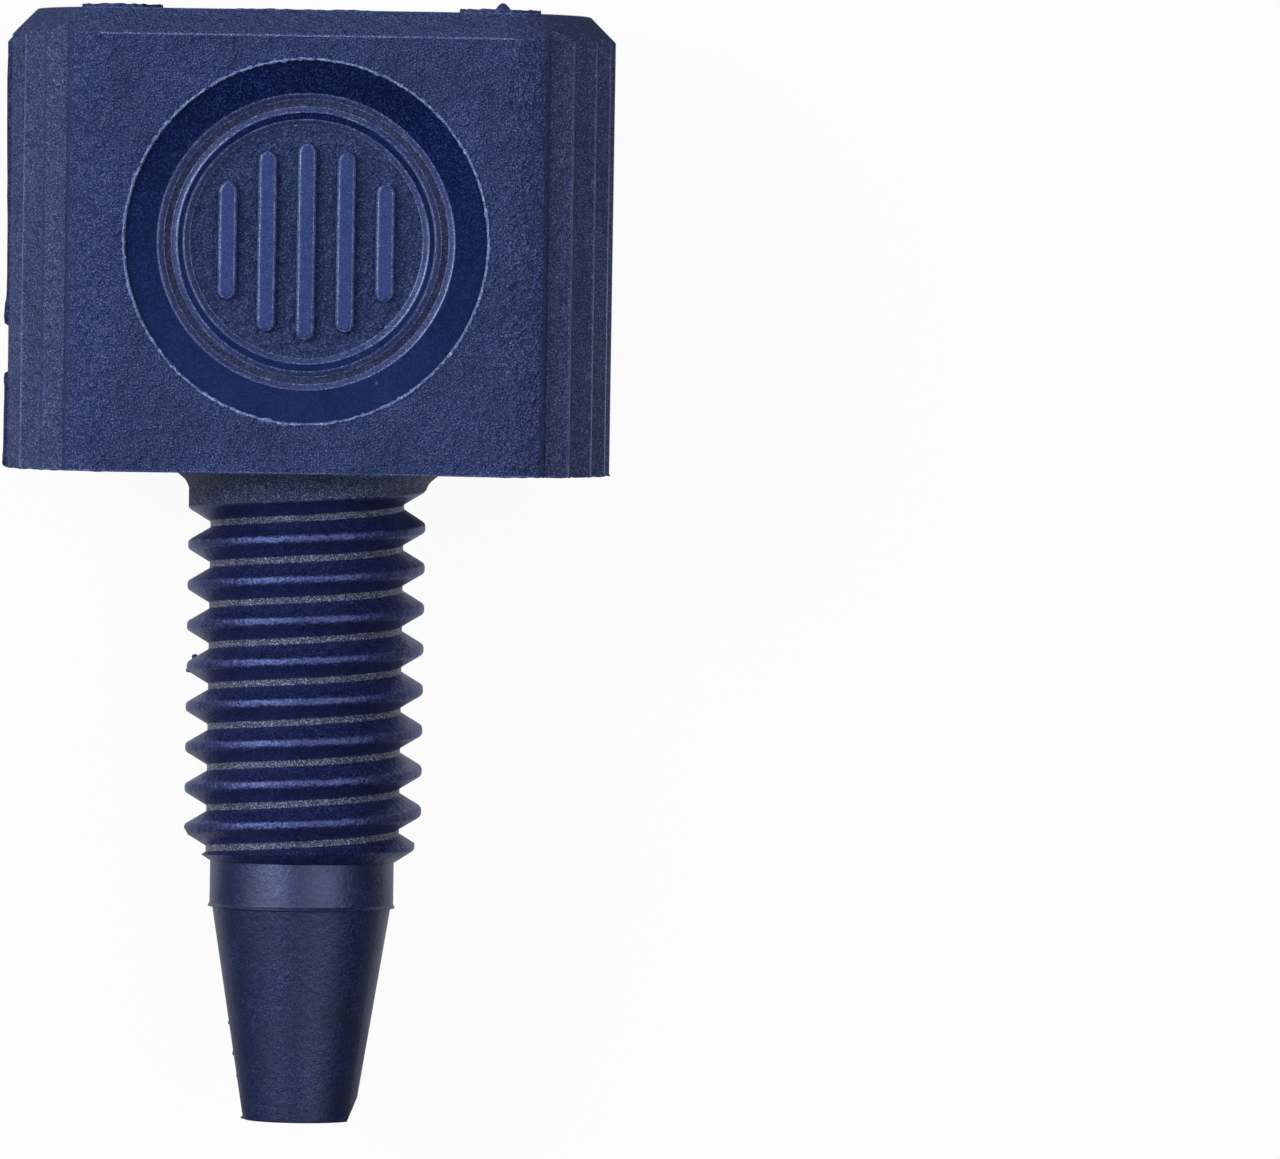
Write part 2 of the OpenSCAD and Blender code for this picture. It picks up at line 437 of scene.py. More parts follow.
@dataclass(frozen=True)
class Head:
    """The toothed head: a serrated round cut by two wide flats, with four rounded corners."""

    height: float = 8.95
    radius: float = 5.9
    depth: float = 7.75
    corner_radius: float = 1.5
    corner_share: float = 0.8
    chamfer: float = 0.5
    tooth_count: int = 36
    tooth_depth: float = 0.24
    tip_rounding: float = 0.06
    tip_facets: int = 3
    tip_allowance: float = 0.018
    edge_rounding: float = 0.022
    edge_facets: int = 2
    edge_angle: float = 24.0
    crease: float = 4.65
    crease_width: float = 0.05
    crease_depth: float = 0.02
    upright: float = 0.1
    arc_cuts: int = 10
    tooth_cuts: int = 30

    @property
    def flat(self) -> float:
        """Distance of a wide flat from the bore axis."""
        return self.depth / 2

    @property
    def chamfer_z(self) -> float:
        """Height at which the chamfer of the open end starts."""
        return self.height - self.chamfer

    @property
    def corner_centre(self) -> Vector:
        """Centre of the rounding between a wide flat and the toothed round.

        Returns:
            The centre at the corner on the sides of +X and +Y.
        """
        across = self.flat - self.corner_radius
        along = math.sqrt((self.radius - self.corner_radius) ** 2 - across**2)
        return Vector((along, across, 0))

    def build(self) -> bpy.types.Object:
        """Model the head's block.

        Returns:
            The closed block with rounded edges.
        """
        block = self._serrated_round()
        Bench.edit(block)
        for side in SIDES:
            self._cut_flat(side)
            for end in SIDES:
                self._cut_corner(end, side)
            self._chamfer_teeth(side)
        self._sink_creases(block)
        Bench.done()
        Bench.close(block)
        Bench.bevel(block, self.edge_rounding, self.edge_facets, self.edge_angle)
        return Bench.close(block)

    def _serrated_round(self) -> bpy.types.Object:
        """Draw a circle, pull every second point in and raise it into a serrated prism.

        Returns:
            The closed prism, open in edit mode.
        """
        points = 2 * self.tooth_count
        sharp = self.radius + self.tip_allowance
        bpy.ops.mesh.primitive_circle_add(vertices=points, radius=sharp, fill_type="NGON")
        block = bpy.context.object
        block.name = "fitting_moulding"
        Bench.edit(block, "DESELECT")
        Bench.choose(
            block,
            "verts",
            lambda point: round(math.atan2(point.co.y, point.co.x) / FULL_TURN * points) % 2 != 0,
        )
        inward = (sharp - self.tooth_depth) / sharp
        bpy.ops.transform.resize(value=(inward, inward, 1))
        bpy.ops.mesh.select_all(action="SELECT")
        bpy.ops.mesh.extrude_region_move(TRANSFORM_OT_translate={"value": (0, 0, self.height)})
        bpy.ops.mesh.select_all(action="SELECT")
        bpy.ops.mesh.normals_make_consistent(inside=False)
        bpy.ops.mesh.select_all(action="DESELECT")
        bpy.ops.mesh.select_mode(type="EDGE")
        Bench.choose(
            block,
            "edges",
            lambda edge: abs(edge.verts[0].co.z - edge.verts[1].co.z) > self.height / 2,
        )
        bpy.ops.mesh.bevel(offset=self.tip_rounding, segments=self.tip_facets, affect="EDGES")
        bpy.ops.mesh.select_mode(type="VERT")
        return block

    def _cut_flat(self, side: int) -> None:
        """Cut one wide flat and its chamfer at the open end.

        Args:
            side: -1 for the flat on the side of -Y, 1 for the other.
        """
        Bench.cut_off(Vector((0, side * self.flat, 0)), Vector((0, side, 0)))
        edge = Vector((0, side * self.flat, self.chamfer_z))
        Bench.cut_off(edge, Vector((0, side, 1)).normalized())

    def _cut_corner(self, end: int, side: int) -> None:
        """Round one corner, and its chamfer, with cuts that touch the corner's arc.

        Args:
            end: -1 for a corner on the side of -X, 1 for the other.
            side: -1 for a corner on the side of -Y, 1 for the other.
        """
        centre = self.corner_centre
        first = math.atan2(centre.y, centre.x)
        for step in range(self.arc_cuts):
            angle = first + (math.pi / 2 - first) * (step + 0.5) / self.arc_cuts
            out = Vector((end * math.cos(angle), side * math.sin(angle), 0))
            point = Vector((end * centre.x, side * centre.y, 0)) + out * self.corner_radius
            Bench.cut_off(point, out)
            point.z = self.chamfer_z
            Bench.cut_off(point, (out + Vector((0, 0, 1))).normalized())

    def _sink_creases(self, block: bpy.types.Object) -> None:
        """Sink the shallow crease that ends the last tooth on each corner.

        Args:
            block: The head's block, open in edit mode.
        """
        reaches = [self.crease + step * self.crease_width for step in (-1, 0, 1)]
        lines = [side * reach for side in SIDES for reach in reaches]
        bpy.ops.mesh.select_mode(type="FACE")
        for line in lines:
            Bench.choose(block, "faces", lambda face: abs(face.normal.z) < self.upright)
            bpy.ops.mesh.bisect(plane_co=(line, 0, 0), plane_no=(1, 0, 0), threshold=HAIR)
        bpy.ops.mesh.select_mode(type="VERT")
        bpy.ops.mesh.select_all(action="DESELECT")
        for side in SIDES:
            Bench.choose(block, "verts", lambda point: self._on_crease(point.co, side))
            bpy.ops.transform.translate(value=(0, -side * self.crease_depth, 0))

    def _on_crease(self, place: Vector, side: int) -> bool:
        """Tell whether a point is on the middle line of a crease.

        Args:
            place: The point.
            side: -1 for the creases on the side of -Y, 1 for the others.

        Returns:
            True if the point is to be sunk.
        """
        on_line = abs(abs(place.x) - self.crease) < WELD
        on_corner = place.y * side > self.flat * self.corner_share
        return on_line and on_corner and place.z < self.chamfer_z + WELD

    def _chamfer_teeth(self, side: int) -> None:
        """Chamfer the toothed ends with cuts that touch a cone round the bore axis.

        Args:
            side: -1 for the toothed end on the side of -X, 1 for the other.
        """
        centre = self.corner_centre
        reach = math.atan2(centre.y, centre.x)
        for step in range(self.tooth_cuts):
            angle = reach * (2 * (step + 0.5) / self.tooth_cuts - 1)
            out = Vector((side * math.cos(angle), math.sin(angle), 0))
            point = out * self.radius + Vector((0, 0, self.chamfer_z))
            Bench.cut_off(point, (out + Vector((0, 0, 1))).normalized())


@dataclass(frozen=True)
class GripPad:
    """The round insert face on a wide flat: a pocket with a raised ring and upright ribs."""

    radius: float = 3.52
    depth: float = 0.07
    dish: float = 0.01
    wall_lean: float = 0.01
    foot_rounding: float = 0.02
    pocket_radius: float = 2.8
    pocket_depth: float = 0.3
    pocket_rounding: float = 0.04
    ring_gap: float = 0.24
    ring_width: float = 0.26
    relief: float = 0.2
    rib_count: int = 5
    rib_width: float = 0.42
    rib_pitch: float = 0.76
    rib_reach: float = 1.9
    rib_foot: float = 0.06
    rib_facets: int = 32
    rounding_facets: int = 4
    draft: float = 0.04
    rounding: float = 0.07
    over: float = 0.5
    facets: int = 144

    def cutter(self) -> bpy.types.Object:
        """Turn what is sunk into the flat, which lies at Z = 0.

        Returns:
            The tool that cuts the insert face, the pocket and the groove round the ring.
        """
        ring_out = self.pocket_radius - self.ring_gap
        ring_in = ring_out - self.ring_width
        top = self.relief - self.pocket_depth
        mouth = self.radius + self.wall_lean
        profile = Profile()
        profile.to(0, self.over).to(mouth, self.over).to(mouth, 0)
        profile.to(self.radius - self.foot_rounding, -self.depth, self.foot_rounding)
        profile.to(self.pocket_radius + self.draft, -self.depth - self.dish, self.rounding)
        profile.to(self.pocket_radius - self.draft, -self.pocket_depth, self.pocket_rounding)
        profile.to(ring_out + self.draft, -self.pocket_depth, self.pocket_rounding)
        profile.to(ring_out - self.draft, top, self.rounding)
        profile.to(ring_in + self.draft, top, self.rounding)
        profile.to(ring_in - self.draft, -self.pocket_depth, self.pocket_rounding)
        profile.to(0, -self.pocket_depth)
        return Bench.turned("pad_cutter", profile, self.facets)

    def rib(self, offset: float) -> bpy.types.Object:
        """Model one upright rib with round ends and rounded top edges.

        Args:
            offset: Distance of the rib from the middle of the pad.

        Returns:
            The rib, with its foot below the pocket's floor.
        """
        half = math.sqrt(self.rib_reach**2 - offset**2) - self.rib_width / 2
        height = self.relief + self.rib_foot
        bpy.ops.mesh.primitive_cylinder_add(
            vertices=self.rib_facets,
            radius=self.rib_width / 2,
            depth=height,
            location=(offset, 0, -self.pocket_depth - self.rib_foot + height / 2),
        )
        rib = bpy.context.object
        rib.name = "rib"
        Bench.place(rib, Matrix.Identity(4))
        Bench.edit(rib, "DESELECT")
        for end in SIDES:
            Bench.choose(rib, "verts", lambda point: point.co.y * end > WELD)
            bpy.ops.transform.translate(value=(0, end * half, 0))
        top = self.relief - self.pocket_depth
        mesh = Bench.choose(rib, "verts", lambda point: point.co.z > top - WELD)
        mesh.select_flush(True)
        bmesh.update_edit_mesh(rib.data)
        draft = 1 - 2 * self.draft / self.rib_width
        bpy.ops.transform.resize(value=(draft, 1, 1), center_override=(offset, 0, top))
        bpy.ops.mesh.bevel(offset=self.rounding, segments=self.rounding_facets, affect="EDGES")
        return Bench.close(rib)

    def ribs(self) -> bpy.types.Object:
        """Model all ribs of the pad as one piece."""
        middle = (self.rib_count - 1) / 2
        return Bench.join([self.rib((k - middle) * self.rib_pitch) for k in range(self.rib_count)])


@dataclass(frozen=True)
class Thread:
    """The male thread: a right-hand helix of 60 degree grooves with rounded crests."""

    pitch: float = 0.79375
    crest_radius: float = 2.32
    root_radius: float = 1.89
    root_flat: float = 0.118
    flank_angle: float = 31.0
    crest_rounding: float = 0.09
    root_rounding: float = 0.03
    arc_steps: int = 3
    length: float = 7.64
    first_groove: float = 0.686
    run_out: float = 180.0
    end_radius: float = 1.82
    end_angle: float = 33.0
    last_crest: float = 2.2
    last_crest_width: float = 0.16
    last_rounding: float = 0.1
    blank_over: float = 0.1
    facets: int = 120
    turns: int = 12
    turns_over: int = 2
    top: float = 0.4
    nick: Triple = (-2.32, -0.1, -3.76)
    nick_reach: float = 0.2
    nick_dent: float = 0.05
    nick_drop: float = 0.06
    nick_tear: float = 0.08
    nick_grain: float = 9.0

    def build(self) -> bpy.types.Object:
        """Sweep one groove down the shank and trim the sweep to a turned blank.

        Returns:
            The closed thread, solid to the bore axis.
        """
        thread = self._sweep()
        self._fade_first_groove(thread)
        Bench.edit(thread)
        Bench.cut_off(Vector((0, 0, self.top)), Vector((0, 0, 1)))
        Bench.cut_off(Vector((0, 0, -self.length)), Vector((0, 0, -1)))
        Bench.close(thread)
        Bench.combine(thread, self._blank(), "INTERSECT")
        self._dent(thread)
        return thread

    def _groove(self) -> Profile:
        """Draw one pitch, from the middle of a crest down to the middle of the next.

        Returns:
            The open profile, at the lower end of the sweep.
        """
        run = (self.crest_radius - self.root_radius) * math.tan(math.radians(self.flank_angle))
        foot = self.root_flat / 2
        low = -self.first_groove - (self.turns - self.turns_over) * self.pitch
        profile = Profile(arc_steps=self.arc_steps)
        profile.to(self.crest_radius, low + self.pitch / 2)
        profile.to(self.crest_radius, low + foot + run, self.crest_rounding)
        profile.to(self.root_radius, low + foot, self.root_rounding)
        profile.to(self.root_radius, low - foot, self.root_rounding)
        profile.to(self.crest_radius, low - foot - run, self.crest_rounding)
        profile.to(self.crest_radius, low - self.pitch / 2)
        return profile

    def _sweep(self) -> bpy.types.Object:
        """Screw the groove's profile up the bore axis.

        Returns:
            The open surface of the thread.
        """
        thread = Bench.line("thread", self._groove().points())
        Bench.pick(thread)
        sweep = thread.modifiers.new("screw", "SCREW")
        sweep.axis = "Z"
        sweep.angle = FULL_TURN
        sweep.screw_offset = self.pitch
        sweep.iterations = self.turns
        sweep.steps = sweep.render_steps = self.facets
        bpy.ops.object.modifier_apply(modifier=sweep.name)
        return Bench.close(thread)

    def _fade_first_groove(self, thread: bpy.types.Object) -> None:
        """Let the first groove rise to nothing over its run-out.

        Args:
            thread: The swept surface.
        """
        for point in thread.data.vertices:
            turn = math.atan2(point.co.y, point.co.x) / FULL_TURN % 1.0
            along = (-point.co.z - self.first_groove) / self.pitch
            groove = round(along + turn) - turn
            depth = min(1.0, max(0.0, 1.0 + FULL_TURN_DEGREES * groove / self.run_out))
            radius = math.hypot(point.co.x, point.co.y)
            wanted = self.crest_radius - depth * (self.crest_radius - radius)
            point.co.x *= wanted / radius
            point.co.y *= wanted / radius

    def _blank(self) -> bpy.types.Object:
        """Turn the blank whose chamfer ends the thread.

        Returns:
            The closed blank.
        """
        rise = (self.last_crest - self.end_radius) * math.tan(math.radians(self.end_angle))
        wide = self.crest_radius + self.blank_over
        top = self.top + self.blank_over
        upper = rise + self.last_crest_width - self.length
        profile = Profile().to(0, top).to(wide, top).to(wide, self.pitch - self.length)
        profile.to(self.last_crest, upper, self.last_rounding)
        profile.to(self.last_crest, rise - self.length, self.last_rounding)
        profile.to(self.end_radius, -self.length)
        profile.to(self.end_radius, -self.length - self.blank_over)
        profile.to(0, -self.length - self.blank_over)
        return Bench.turned("blank", profile, self.facets)

    def _dent(self, thread: bpy.types.Object) -> None:
        """Dent one crest on the -X side and push its torn edge down.

        Args:
            thread: The closed thread.
        """
        middle = Vector(self.nick)
        for point in thread.data.vertices:
            near = 1 - (point.co - middle).length / self.nick_reach
            if near > 0:
                tear = noise.noise(point.co * self.nick_grain)
                point.co.x += near * (self.nick_dent + self.nick_tear * tear)
                point.co.z -= near * (self.nick_drop - self.nick_drop * tear)


@dataclass(frozen=True)
class Shank:
    """The plain surfaces of the shank: neck flare, collar, witness lip and sealing cone."""

    neck_radius: float = 2.64
    neck_height: float = 0.31
    neck_foot: float = 0.05
    flare_share: float = 0.7
    flare_out: float = 0.05
    flare_rounding: float = 0.3
    flare_step: float = 0.002
    core_radius: float = 1.7
    collar_radius: float = 1.8
    collar_height: float = 0.9
    lip: float = 0.04
    lip_height: float = 0.07
    lip_fillet: float = 0.05
    lip_rounding: float = 0.012
    cone_radius: float = 1.745
    cone_step: float = 0.01
    cone_tip_radius: float = 1.08
    cone_height: float = 4.18
    tip_rounding: float = 0.04
    worn_place: Triple = (1.096, 0, 0.32)
    worn_normal: Triple = (0.926, 0, -0.377)
    facets: int = 120

    def length(self, thread: Thread) -> float:
        """Length of the shank below the head."""
        return thread.length + self.collar_height + self.cone_height

    def build(self, thread: Thread) -> bpy.types.Object:
        """Turn the plain surfaces as one closed piece.

        Args:
            thread: The thread, which gives the place of the collar and the foot of the neck.

        Returns:
            The closed piece.
        """
        shoulder = -thread.length
        lip_z = shoulder - self.collar_height
        tip_z = -self.length(thread)
        neck_z = -self.neck_height - self.neck_foot
        flare = thread.crest_radius + self.flare_out
        profile = Profile()
        profile.to(0, thread.top).to(self.neck_radius, thread.top).to(self.neck_radius, 0)
        profile.to(flare, -self.neck_height * self.flare_share, self.flare_rounding)
        profile.to(thread.crest_radius + self.flare_step, neck_z)
        profile.to(self.core_radius, neck_z).to(self.core_radius, shoulder)
        profile.to(self.collar_radius, shoulder)
        profile.to(self.collar_radius, lip_z + self.lip_height, self.lip_fillet)
        profile.to(self.collar_radius + self.lip, lip_z, self.lip_rounding)
        profile.to(self.cone_radius, lip_z - self.cone_step, self.cone_step)
        profile.to(self.cone_tip_radius, tip_z, self.tip_rounding).to(0, tip_z)
        shank = Bench.turned("shank", profile, self.facets)
        self._wear_tip(shank, tip_z)
        return shank

    def _wear_tip(self, shank: bpy.types.Object, tip_z: float) -> None:
        """Cut the worn corner off the +X side of the tip.

        Args:
            shank: The closed piece.
            tip_z: Height of the tip of the sealing cone.
        """
        along, across, over_tip = self.worn_place
        Bench.edit(shank)
        Bench.cut_off(Vector((along, across, tip_z + over_tip)), Vector(self.worn_normal))
        Bench.done()


@dataclass(frozen=True)
class TubeWay:
    """The cup in the head and the stepped bore through the whole fitting."""

    cup_radius: float = 3.12
    cup_floor_radius: float = 3.0
    cup_depth: float = 6.9
    mouth_width: float = 0.03
    mouth_depth: float = 0.05
    mouth_rounding: float = 0.03
    floor_rounding: float = 0.15
    bore_radius: float = 0.88
    bore_mouth_radius: float = 0.95
    bore_chamfer: float = 0.04
    bore_entry: float = 3.0
    tip_radius: float = 0.81
    tip_length: float = 1.1
    taper: float = 0.6
    over: float = 1.0
    facets: int = 96

    @property
    def mouth_radius(self) -> float:
        """Radius of the cup at the open end of the head."""
        return self.cup_radius + self.mouth_width

    def cutter(self, head: Head, tip_z: float) -> bpy.types.Object:
        """Turn the tool that opens the cup and the bore.

        Args:
            head: The head, whose open end the cup is sunk into.
            tip_z: Height of the tip of the sealing cone.

        Returns:
            The closed tool.
        """
        floor = head.height - self.cup_depth
        profile = Profile()
        profile.to(0, head.height + self.over).to(self.mouth_radius, head.height + self.over)
        profile.to(self.mouth_radius, head.height)
        profile.to(self.cup_radius, head.height - self.mouth_depth, self.mouth_rounding)
        profile.to(self.cup_floor_radius, floor, self.floor_rounding)
        profile.to(self.bore_mouth_radius + self.bore_chamfer, floor)
        profile.to(self.bore_mouth_radius, floor - self.bore_chamfer)
        profile.to(self.bore_radius, floor - self.bore_entry)
        profile.to(self.bore_radius, tip_z + self.tip_length + self.taper)
        profile.to(self.tip_radius, tip_z + self.tip_length).to(self.tip_radius, tip_z - self.over)
        profile.to(0, tip_z - self.over)
        return Bench.turned("way_cutter", profile, self.facets)


@dataclass(frozen=True)
class PinMarks:
    """Ejector pin marks on the open end, each a shallow disc with a burr, and the gate's stub."""

    radius: float = 0.77
    along: float = 3.66
    across: float = 2.35
    depth: float = 0.03
    foot_rounding: float = 0.012
    facets: int = 64
    burr_width: float = 0.05
    burr_height: float = 0.07
    burr_taper: float = 3.0
    burr_rounding: float = 0.006
    burr_facets: int = 160
    burr_wear: Wear = (0.014, 7.0)
    gate_radius: float = 0.21
    gate_height: float = 0.3
    gate_facets: tuple[int, int] = (32, 20)
    gate_wear: Wear = (0.012, 6.0)

    def places(self, head: Head) -> list[Vector]:
        """Give the middle of each mark on the open end of the head."""
        ways = [(end, side) for end in SIDES for side in SIDES]
        return [Vector((x * self.along, y * self.across, head.height)) for x, y in ways]

    def dish(self, place: Vector) -> bpy.types.Object:
        """Model the tool that sinks one mark into the open end.

        Args:
            place: Middle of the mark.

        Returns:
            The closed tool.
        """
        profile = Profile().to(0, self.burr_height).to(self.radius, self.burr_height)
        profile.to(self.radius, -self.depth, self.foot_rounding).to(0, -self.depth)
        return Bench.place(Bench.turned("dish", profile, self.facets), Matrix.Translation(place))

    def burr(self, place: Vector) -> bpy.types.Object:
        """Model the thin upright burr round one mark.

        Args:
            place: Middle of the mark.

        Returns:
            The closed, ragged burr.
        """
        half = self.burr_width / 2
        foot = -self.depth
        profile = Profile().to(self.radius - half, foot)
        profile.to(self.radius - half / self.burr_taper, self.burr_height, self.burr_rounding)
        profile.to(self.radius + half / self.burr_taper, self.burr_height, self.burr_rounding)
        profile.to(self.radius + half, foot).to(self.radius - half, foot)
        burr = Bench.turned("pin_burr", profile, self.burr_facets)
        Bench.place(burr, Matrix.Translation(place))
        return Bench.roughen(burr, *self.burr_wear)

    def gate(self, head: Head) -> bpy.types.Object:
        """Model the broken stub that the gate left on one mark.

        Args:
            head: The head, whose open end carries the marks.

        Returns:
            The closed, ragged stub, let into the open end.
        """
        segments, rings = self.gate_facets
        bpy.ops.mesh.primitive_uv_sphere_add(
            segments=segments, ring_count=rings, radius=self.gate_radius
        )
        stub = bpy.context.object
        stub.name = "gate_stub"
        rise = (self.gate_height + self.gate_radius / 2) / self.gate_radius
        Bench.edit(stub)
        bpy.ops.transform.resize(value=(1, 1, rise))
        Bench.done()
        place = Vector((self.along, self.across, head.height))
        Bench.place(stub, Matrix.Translation(place - Vector((0, 0, self.gate_radius / 2))))
        return Bench.roughen(stub, *self.gate_wear)


@dataclass(frozen=True)
class Crumb:
    """A small ragged lump that the mould or the saw left on an edge."""

    place: Triple
    size: Triple
    wear_share: float = 0.4
    grain: float = 9.0
    fineness: int = 3

    def build(self, level: float = 0.0) -> bpy.types.Object:
        """Model the lump as a roughened ball.

        Args:
            level: The height that the lump's own height is counted from.

        Returns:
            The closed lump.
        """
        bpy.ops.mesh.primitive_ico_sphere_add(subdivisions=self.fineness, radius=1)
        lump = bpy.context.object
        lump.name = "crumb"
        x, y, z = self.place
        place = Vector((x, y, level + z))
        Bench.place(lump, Matrix.LocRotScale(place, None, Vector(self.size)))
        return Bench.roughen(lump, min(self.size) * self.wear_share, self.grain)


@dataclass(frozen=True)
class Flash:
    """A thin fin that the parting line left on the -X side of the head."""

    edge: tuple[Pair, ...]
    thickness: float = 0.05
    inside: float = 0.12
    cuts: int = 2
    wear_and_painted_sheen: Wear = (0.008, 8.0)

    def build(self) -> bpy.types.Object:
        """Raise a plate whose free edge follows the fin's points.

        The points run from low to high, each as (distance from the bore axis, height).

        Returns:
            The closed plate, let into the surface beside it.
        """
        inner = min(distance for distance, _ in self.edge) - self.inside
        outline = [Vector((-distance, 0, height)) for distance, height in self.edge]
        outline += [Vector((-inner, 0, self.edge[-1][1])), Vector((-inner, 0, self.edge[0][1]))]
        plate = Bench.line("flash", outline + outline[:1])
        Bench.edit(plate)
        bpy.ops.mesh.remove_doubles(threshold=WELD)
        bpy.ops.mesh.edge_face_add()
        bpy.ops.transform.translate(value=(0, -self.thickness / 2, 0))
        bpy.ops.mesh.extrude_region_move(
            TRANSFORM_OT_translate={"value": (0, self.thickness, 0)}
        )
        bpy.ops.mesh.select_all(action="SELECT")
        bpy.ops.mesh.subdivide(number_cuts=self.cuts)
        Bench.close(plate)
        return Bench.roughen(plate, *self.wear_and_painted_sheen)


@dataclass(frozen=True)
class Bead:
    """A burr in the form of a ragged round bead that follows an edge."""

    radius: float
    wear_and_painted_sheen: Wear
    facets: int = 0

    def ring(self, name: str, radius: float, height: float) -> bpy.types.Object:
        """Model the bead along a circle round the Z axis.

        Args:
            name: Name of the new object.
            radius: Radius of the circle.
            height: Height of the circle.

        Returns:
            The closed bead.
        """
        bpy.ops.mesh.primitive_circle_add(
            vertices=self.facets, radius=radius, location=(0, 0, height)
        )
        line = bpy.context.object
        line.name = name
        return self.along(Bench.place(line, Matrix.Identity(4)))

    def along(self, line: bpy.types.Object) -> bpy.types.Object:
        """Turn a closed line of edges into the bead."""
        return Bench.roughen(Bench.thicken(line, self.radius), *self.wear_and_painted_sheen)


@dataclass(frozen=True)
class Survey:
    """Tells which region a face of the body is in, by its middle and its normal.

    Each band is how far from its edge or surface a face still belongs to it.  Slopes are spans of
    a normal's share along the bore axis or, on the grip pad, straight out of the pad.
    """

    head: Head
    pad: GripPad
    thread: Thread
    shank: Shank
    way: TubeWay
    slack: float = 0.01
    axial: float = 0.99
    tooth_tip: float = 0.035
    # Tooth tips on the -X side further than this from the middle carry painted shade.
    shaded_tip_from: float = 2.5
    # Tooth tips further than this from the middle, or on the +X side, carry the painted highlight.
    highlight_from: float = 1.5
    crease_share: float = 0.7
    rim_slopes: Span = (0.75, 0.99)
    bevel_slopes: Span = (0.1, 0.65)
    edge_band: float = 0.03
    flat_band: float = 0.04
    chamfer_band_painted_shade: float = 0.02
    pad_band: float = 0.012
    cup_band: float = 0.035
    pad_level: float = 0.9
    pad_slopes: Span = (0.25, 0.95)
    rib_band: float = 0.05
    neck_band: float = 0.5
    collar_band: float = 0.001
    root_band: float = 0.03

    def region_of(self, centre: Vector, normal: Vector) -> Region:
        """Tell which area of the body a face belongs to.

        Args:
            centre: Middle of the face, in the turning frame.
            normal: Outward normal of the face.

        Returns:
            The area, which gives the face its finish.
        """
        radius = math.hypot(centre.x, centre.y)
        if normal.z > self.axial and centre.z > self.head.chamfer_z:
            return Region.CHAMFER
        if normal.z < -self.axial and abs(centre.z) < WELD:
            return Region.ERODED
        if centre.z < WELD:
            return self._on_shank(centre.z, radius)
        reach = math.hypot(centre.x, centre.z - self.head.height / 2)
        sunk = self.head.flat - abs(centre.y)
        in_pad = reach < self.pad.radius + self.pad_band
        if in_pad and -WELD < sunk < self.pad.pocket_depth + self.slack:
            return self._on_pad(abs(normal.y), reach, sunk)
        if radius < self.way.cup_radius + self.cup_band:
            return Region.CUP
        return self._on_head(centre, normal, radius)

    def _on_head(self, centre: Vector, normal: Vector, radius: float) -> Region:
        """Tell which area of the head's outside a face belongs to.

        Args:
            centre: Middle of the face.
            normal: Outward normal of the face.
            radius: Distance of the face from the bore axis.

        Returns:
            The area.
        """
        # Creases and shaded tips get painted shade, edges and lit tips a painted highlight, tooth
        # flanks a painted sheen.
        if self._is_crease(centre, radius):
            return Region.CREASE
        if self._is_edge(centre, normal, radius):
            return Region.EDGE
        if centre.z > self.head.chamfer_z - self.chamfer_band_painted_shade:
            return Region.CHAMFER
        # Tooth flanks get the lighter colour of the painted sheen.
        return Region.TEETH if abs(centre.x) > self.head.crease else Region.ERODED

    def _is_crease(self, centre: Vector, radius: float) -> bool:
        """Tell whether a face is in a corner's crease, or on a tooth's tip on the -X side away from
        the middle, which both carry painted shade.

        Args:
            centre: Middle of the face.
            radius: Distance of the face from the bore axis.

        Returns:
            True if it is.
        """
        head = self.head
        if centre.z > head.chamfer_z:
            return False
        on_tip = centre.x < 0 and radius > head.radius - self.tooth_tip
        # These -X tips are darkened as painted shade.
        on_shaded_tip = on_tip and abs(centre.y) > self.shaded_tip_from
        on_line = abs(abs(centre.x) - head.crease) < head.crease_width * self.crease_share
        return on_shaded_tip or on_line and abs(centre.y) > head.flat * head.corner_share

    def _is_edge(self, centre: Vector, normal: Vector, radius: float) -> bool:
        """Tell whether a face is on an edge, or a tooth's tip, of the head that carries the painted
        highlight.

        Args:
            centre: Middle of the face.
            normal: Outward normal of the face.
            radius: Distance of the face from the bore axis.

        Returns:
            True if it is.
        """
        head = self.head
        top = head.chamfer_z
        on_tooth = centre.z < top and abs(normal.z) < head.upright
        on_tip = on_tooth and radius > head.radius - self.tooth_tip
        # The painted highlight goes on the +X tips, and on tips far from the middle.
        highlit_side = centre.x > 0 or abs(centre.y) > self.highlight_from
        on_rim = centre.z > top and self.rim_slopes[0] < normal.z < self.rim_slopes[1]
        on_foot = centre.z < self.edge_band and normal.z < -head.upright
        near_flat = head.flat - abs(centre.y) < self.flat_band
        near_chamfer = near_flat and abs(centre.z - top) < self.edge_band
        on_bevel = near_chamfer and self.bevel_slopes[0] < normal.z < self.bevel_slopes[1]
        return on_tip and highlit_side or on_rim or on_foot or on_bevel

    def _on_pad(self, facing: float, reach: float, sunk: float) -> Region:
        """Tell which area of the grip pad a face belongs to.

        Args:
            facing: Share of the face's normal that points straight out of the pad.
            reach: Distance of the face from the middle of the pad.
            sunk: Depth of the face below the wide flat.

        Returns:
            The area.
        """
        if sunk < WELD and facing > self.pad_level:
            return Region.ERODED
        # Sloped edges of the ring and the ribs carry the painted highlight.
        if self.pad_slopes[0] < facing < self.pad_slopes[1]:
            return Region.EDGE
        # The pocket's floor and the groove round the ring carry painted shade.
        if sunk > self.pad.pocket_depth - self.slack:
            in_groove = reach > self.pad.pocket_radius - self.pad.ring_gap - self.slack
            return Region.GROOVE if in_groove else Region.POCKET
        return Region.RELIEF if reach < self.pad.rib_reach + self.rib_band else Region.INSERT

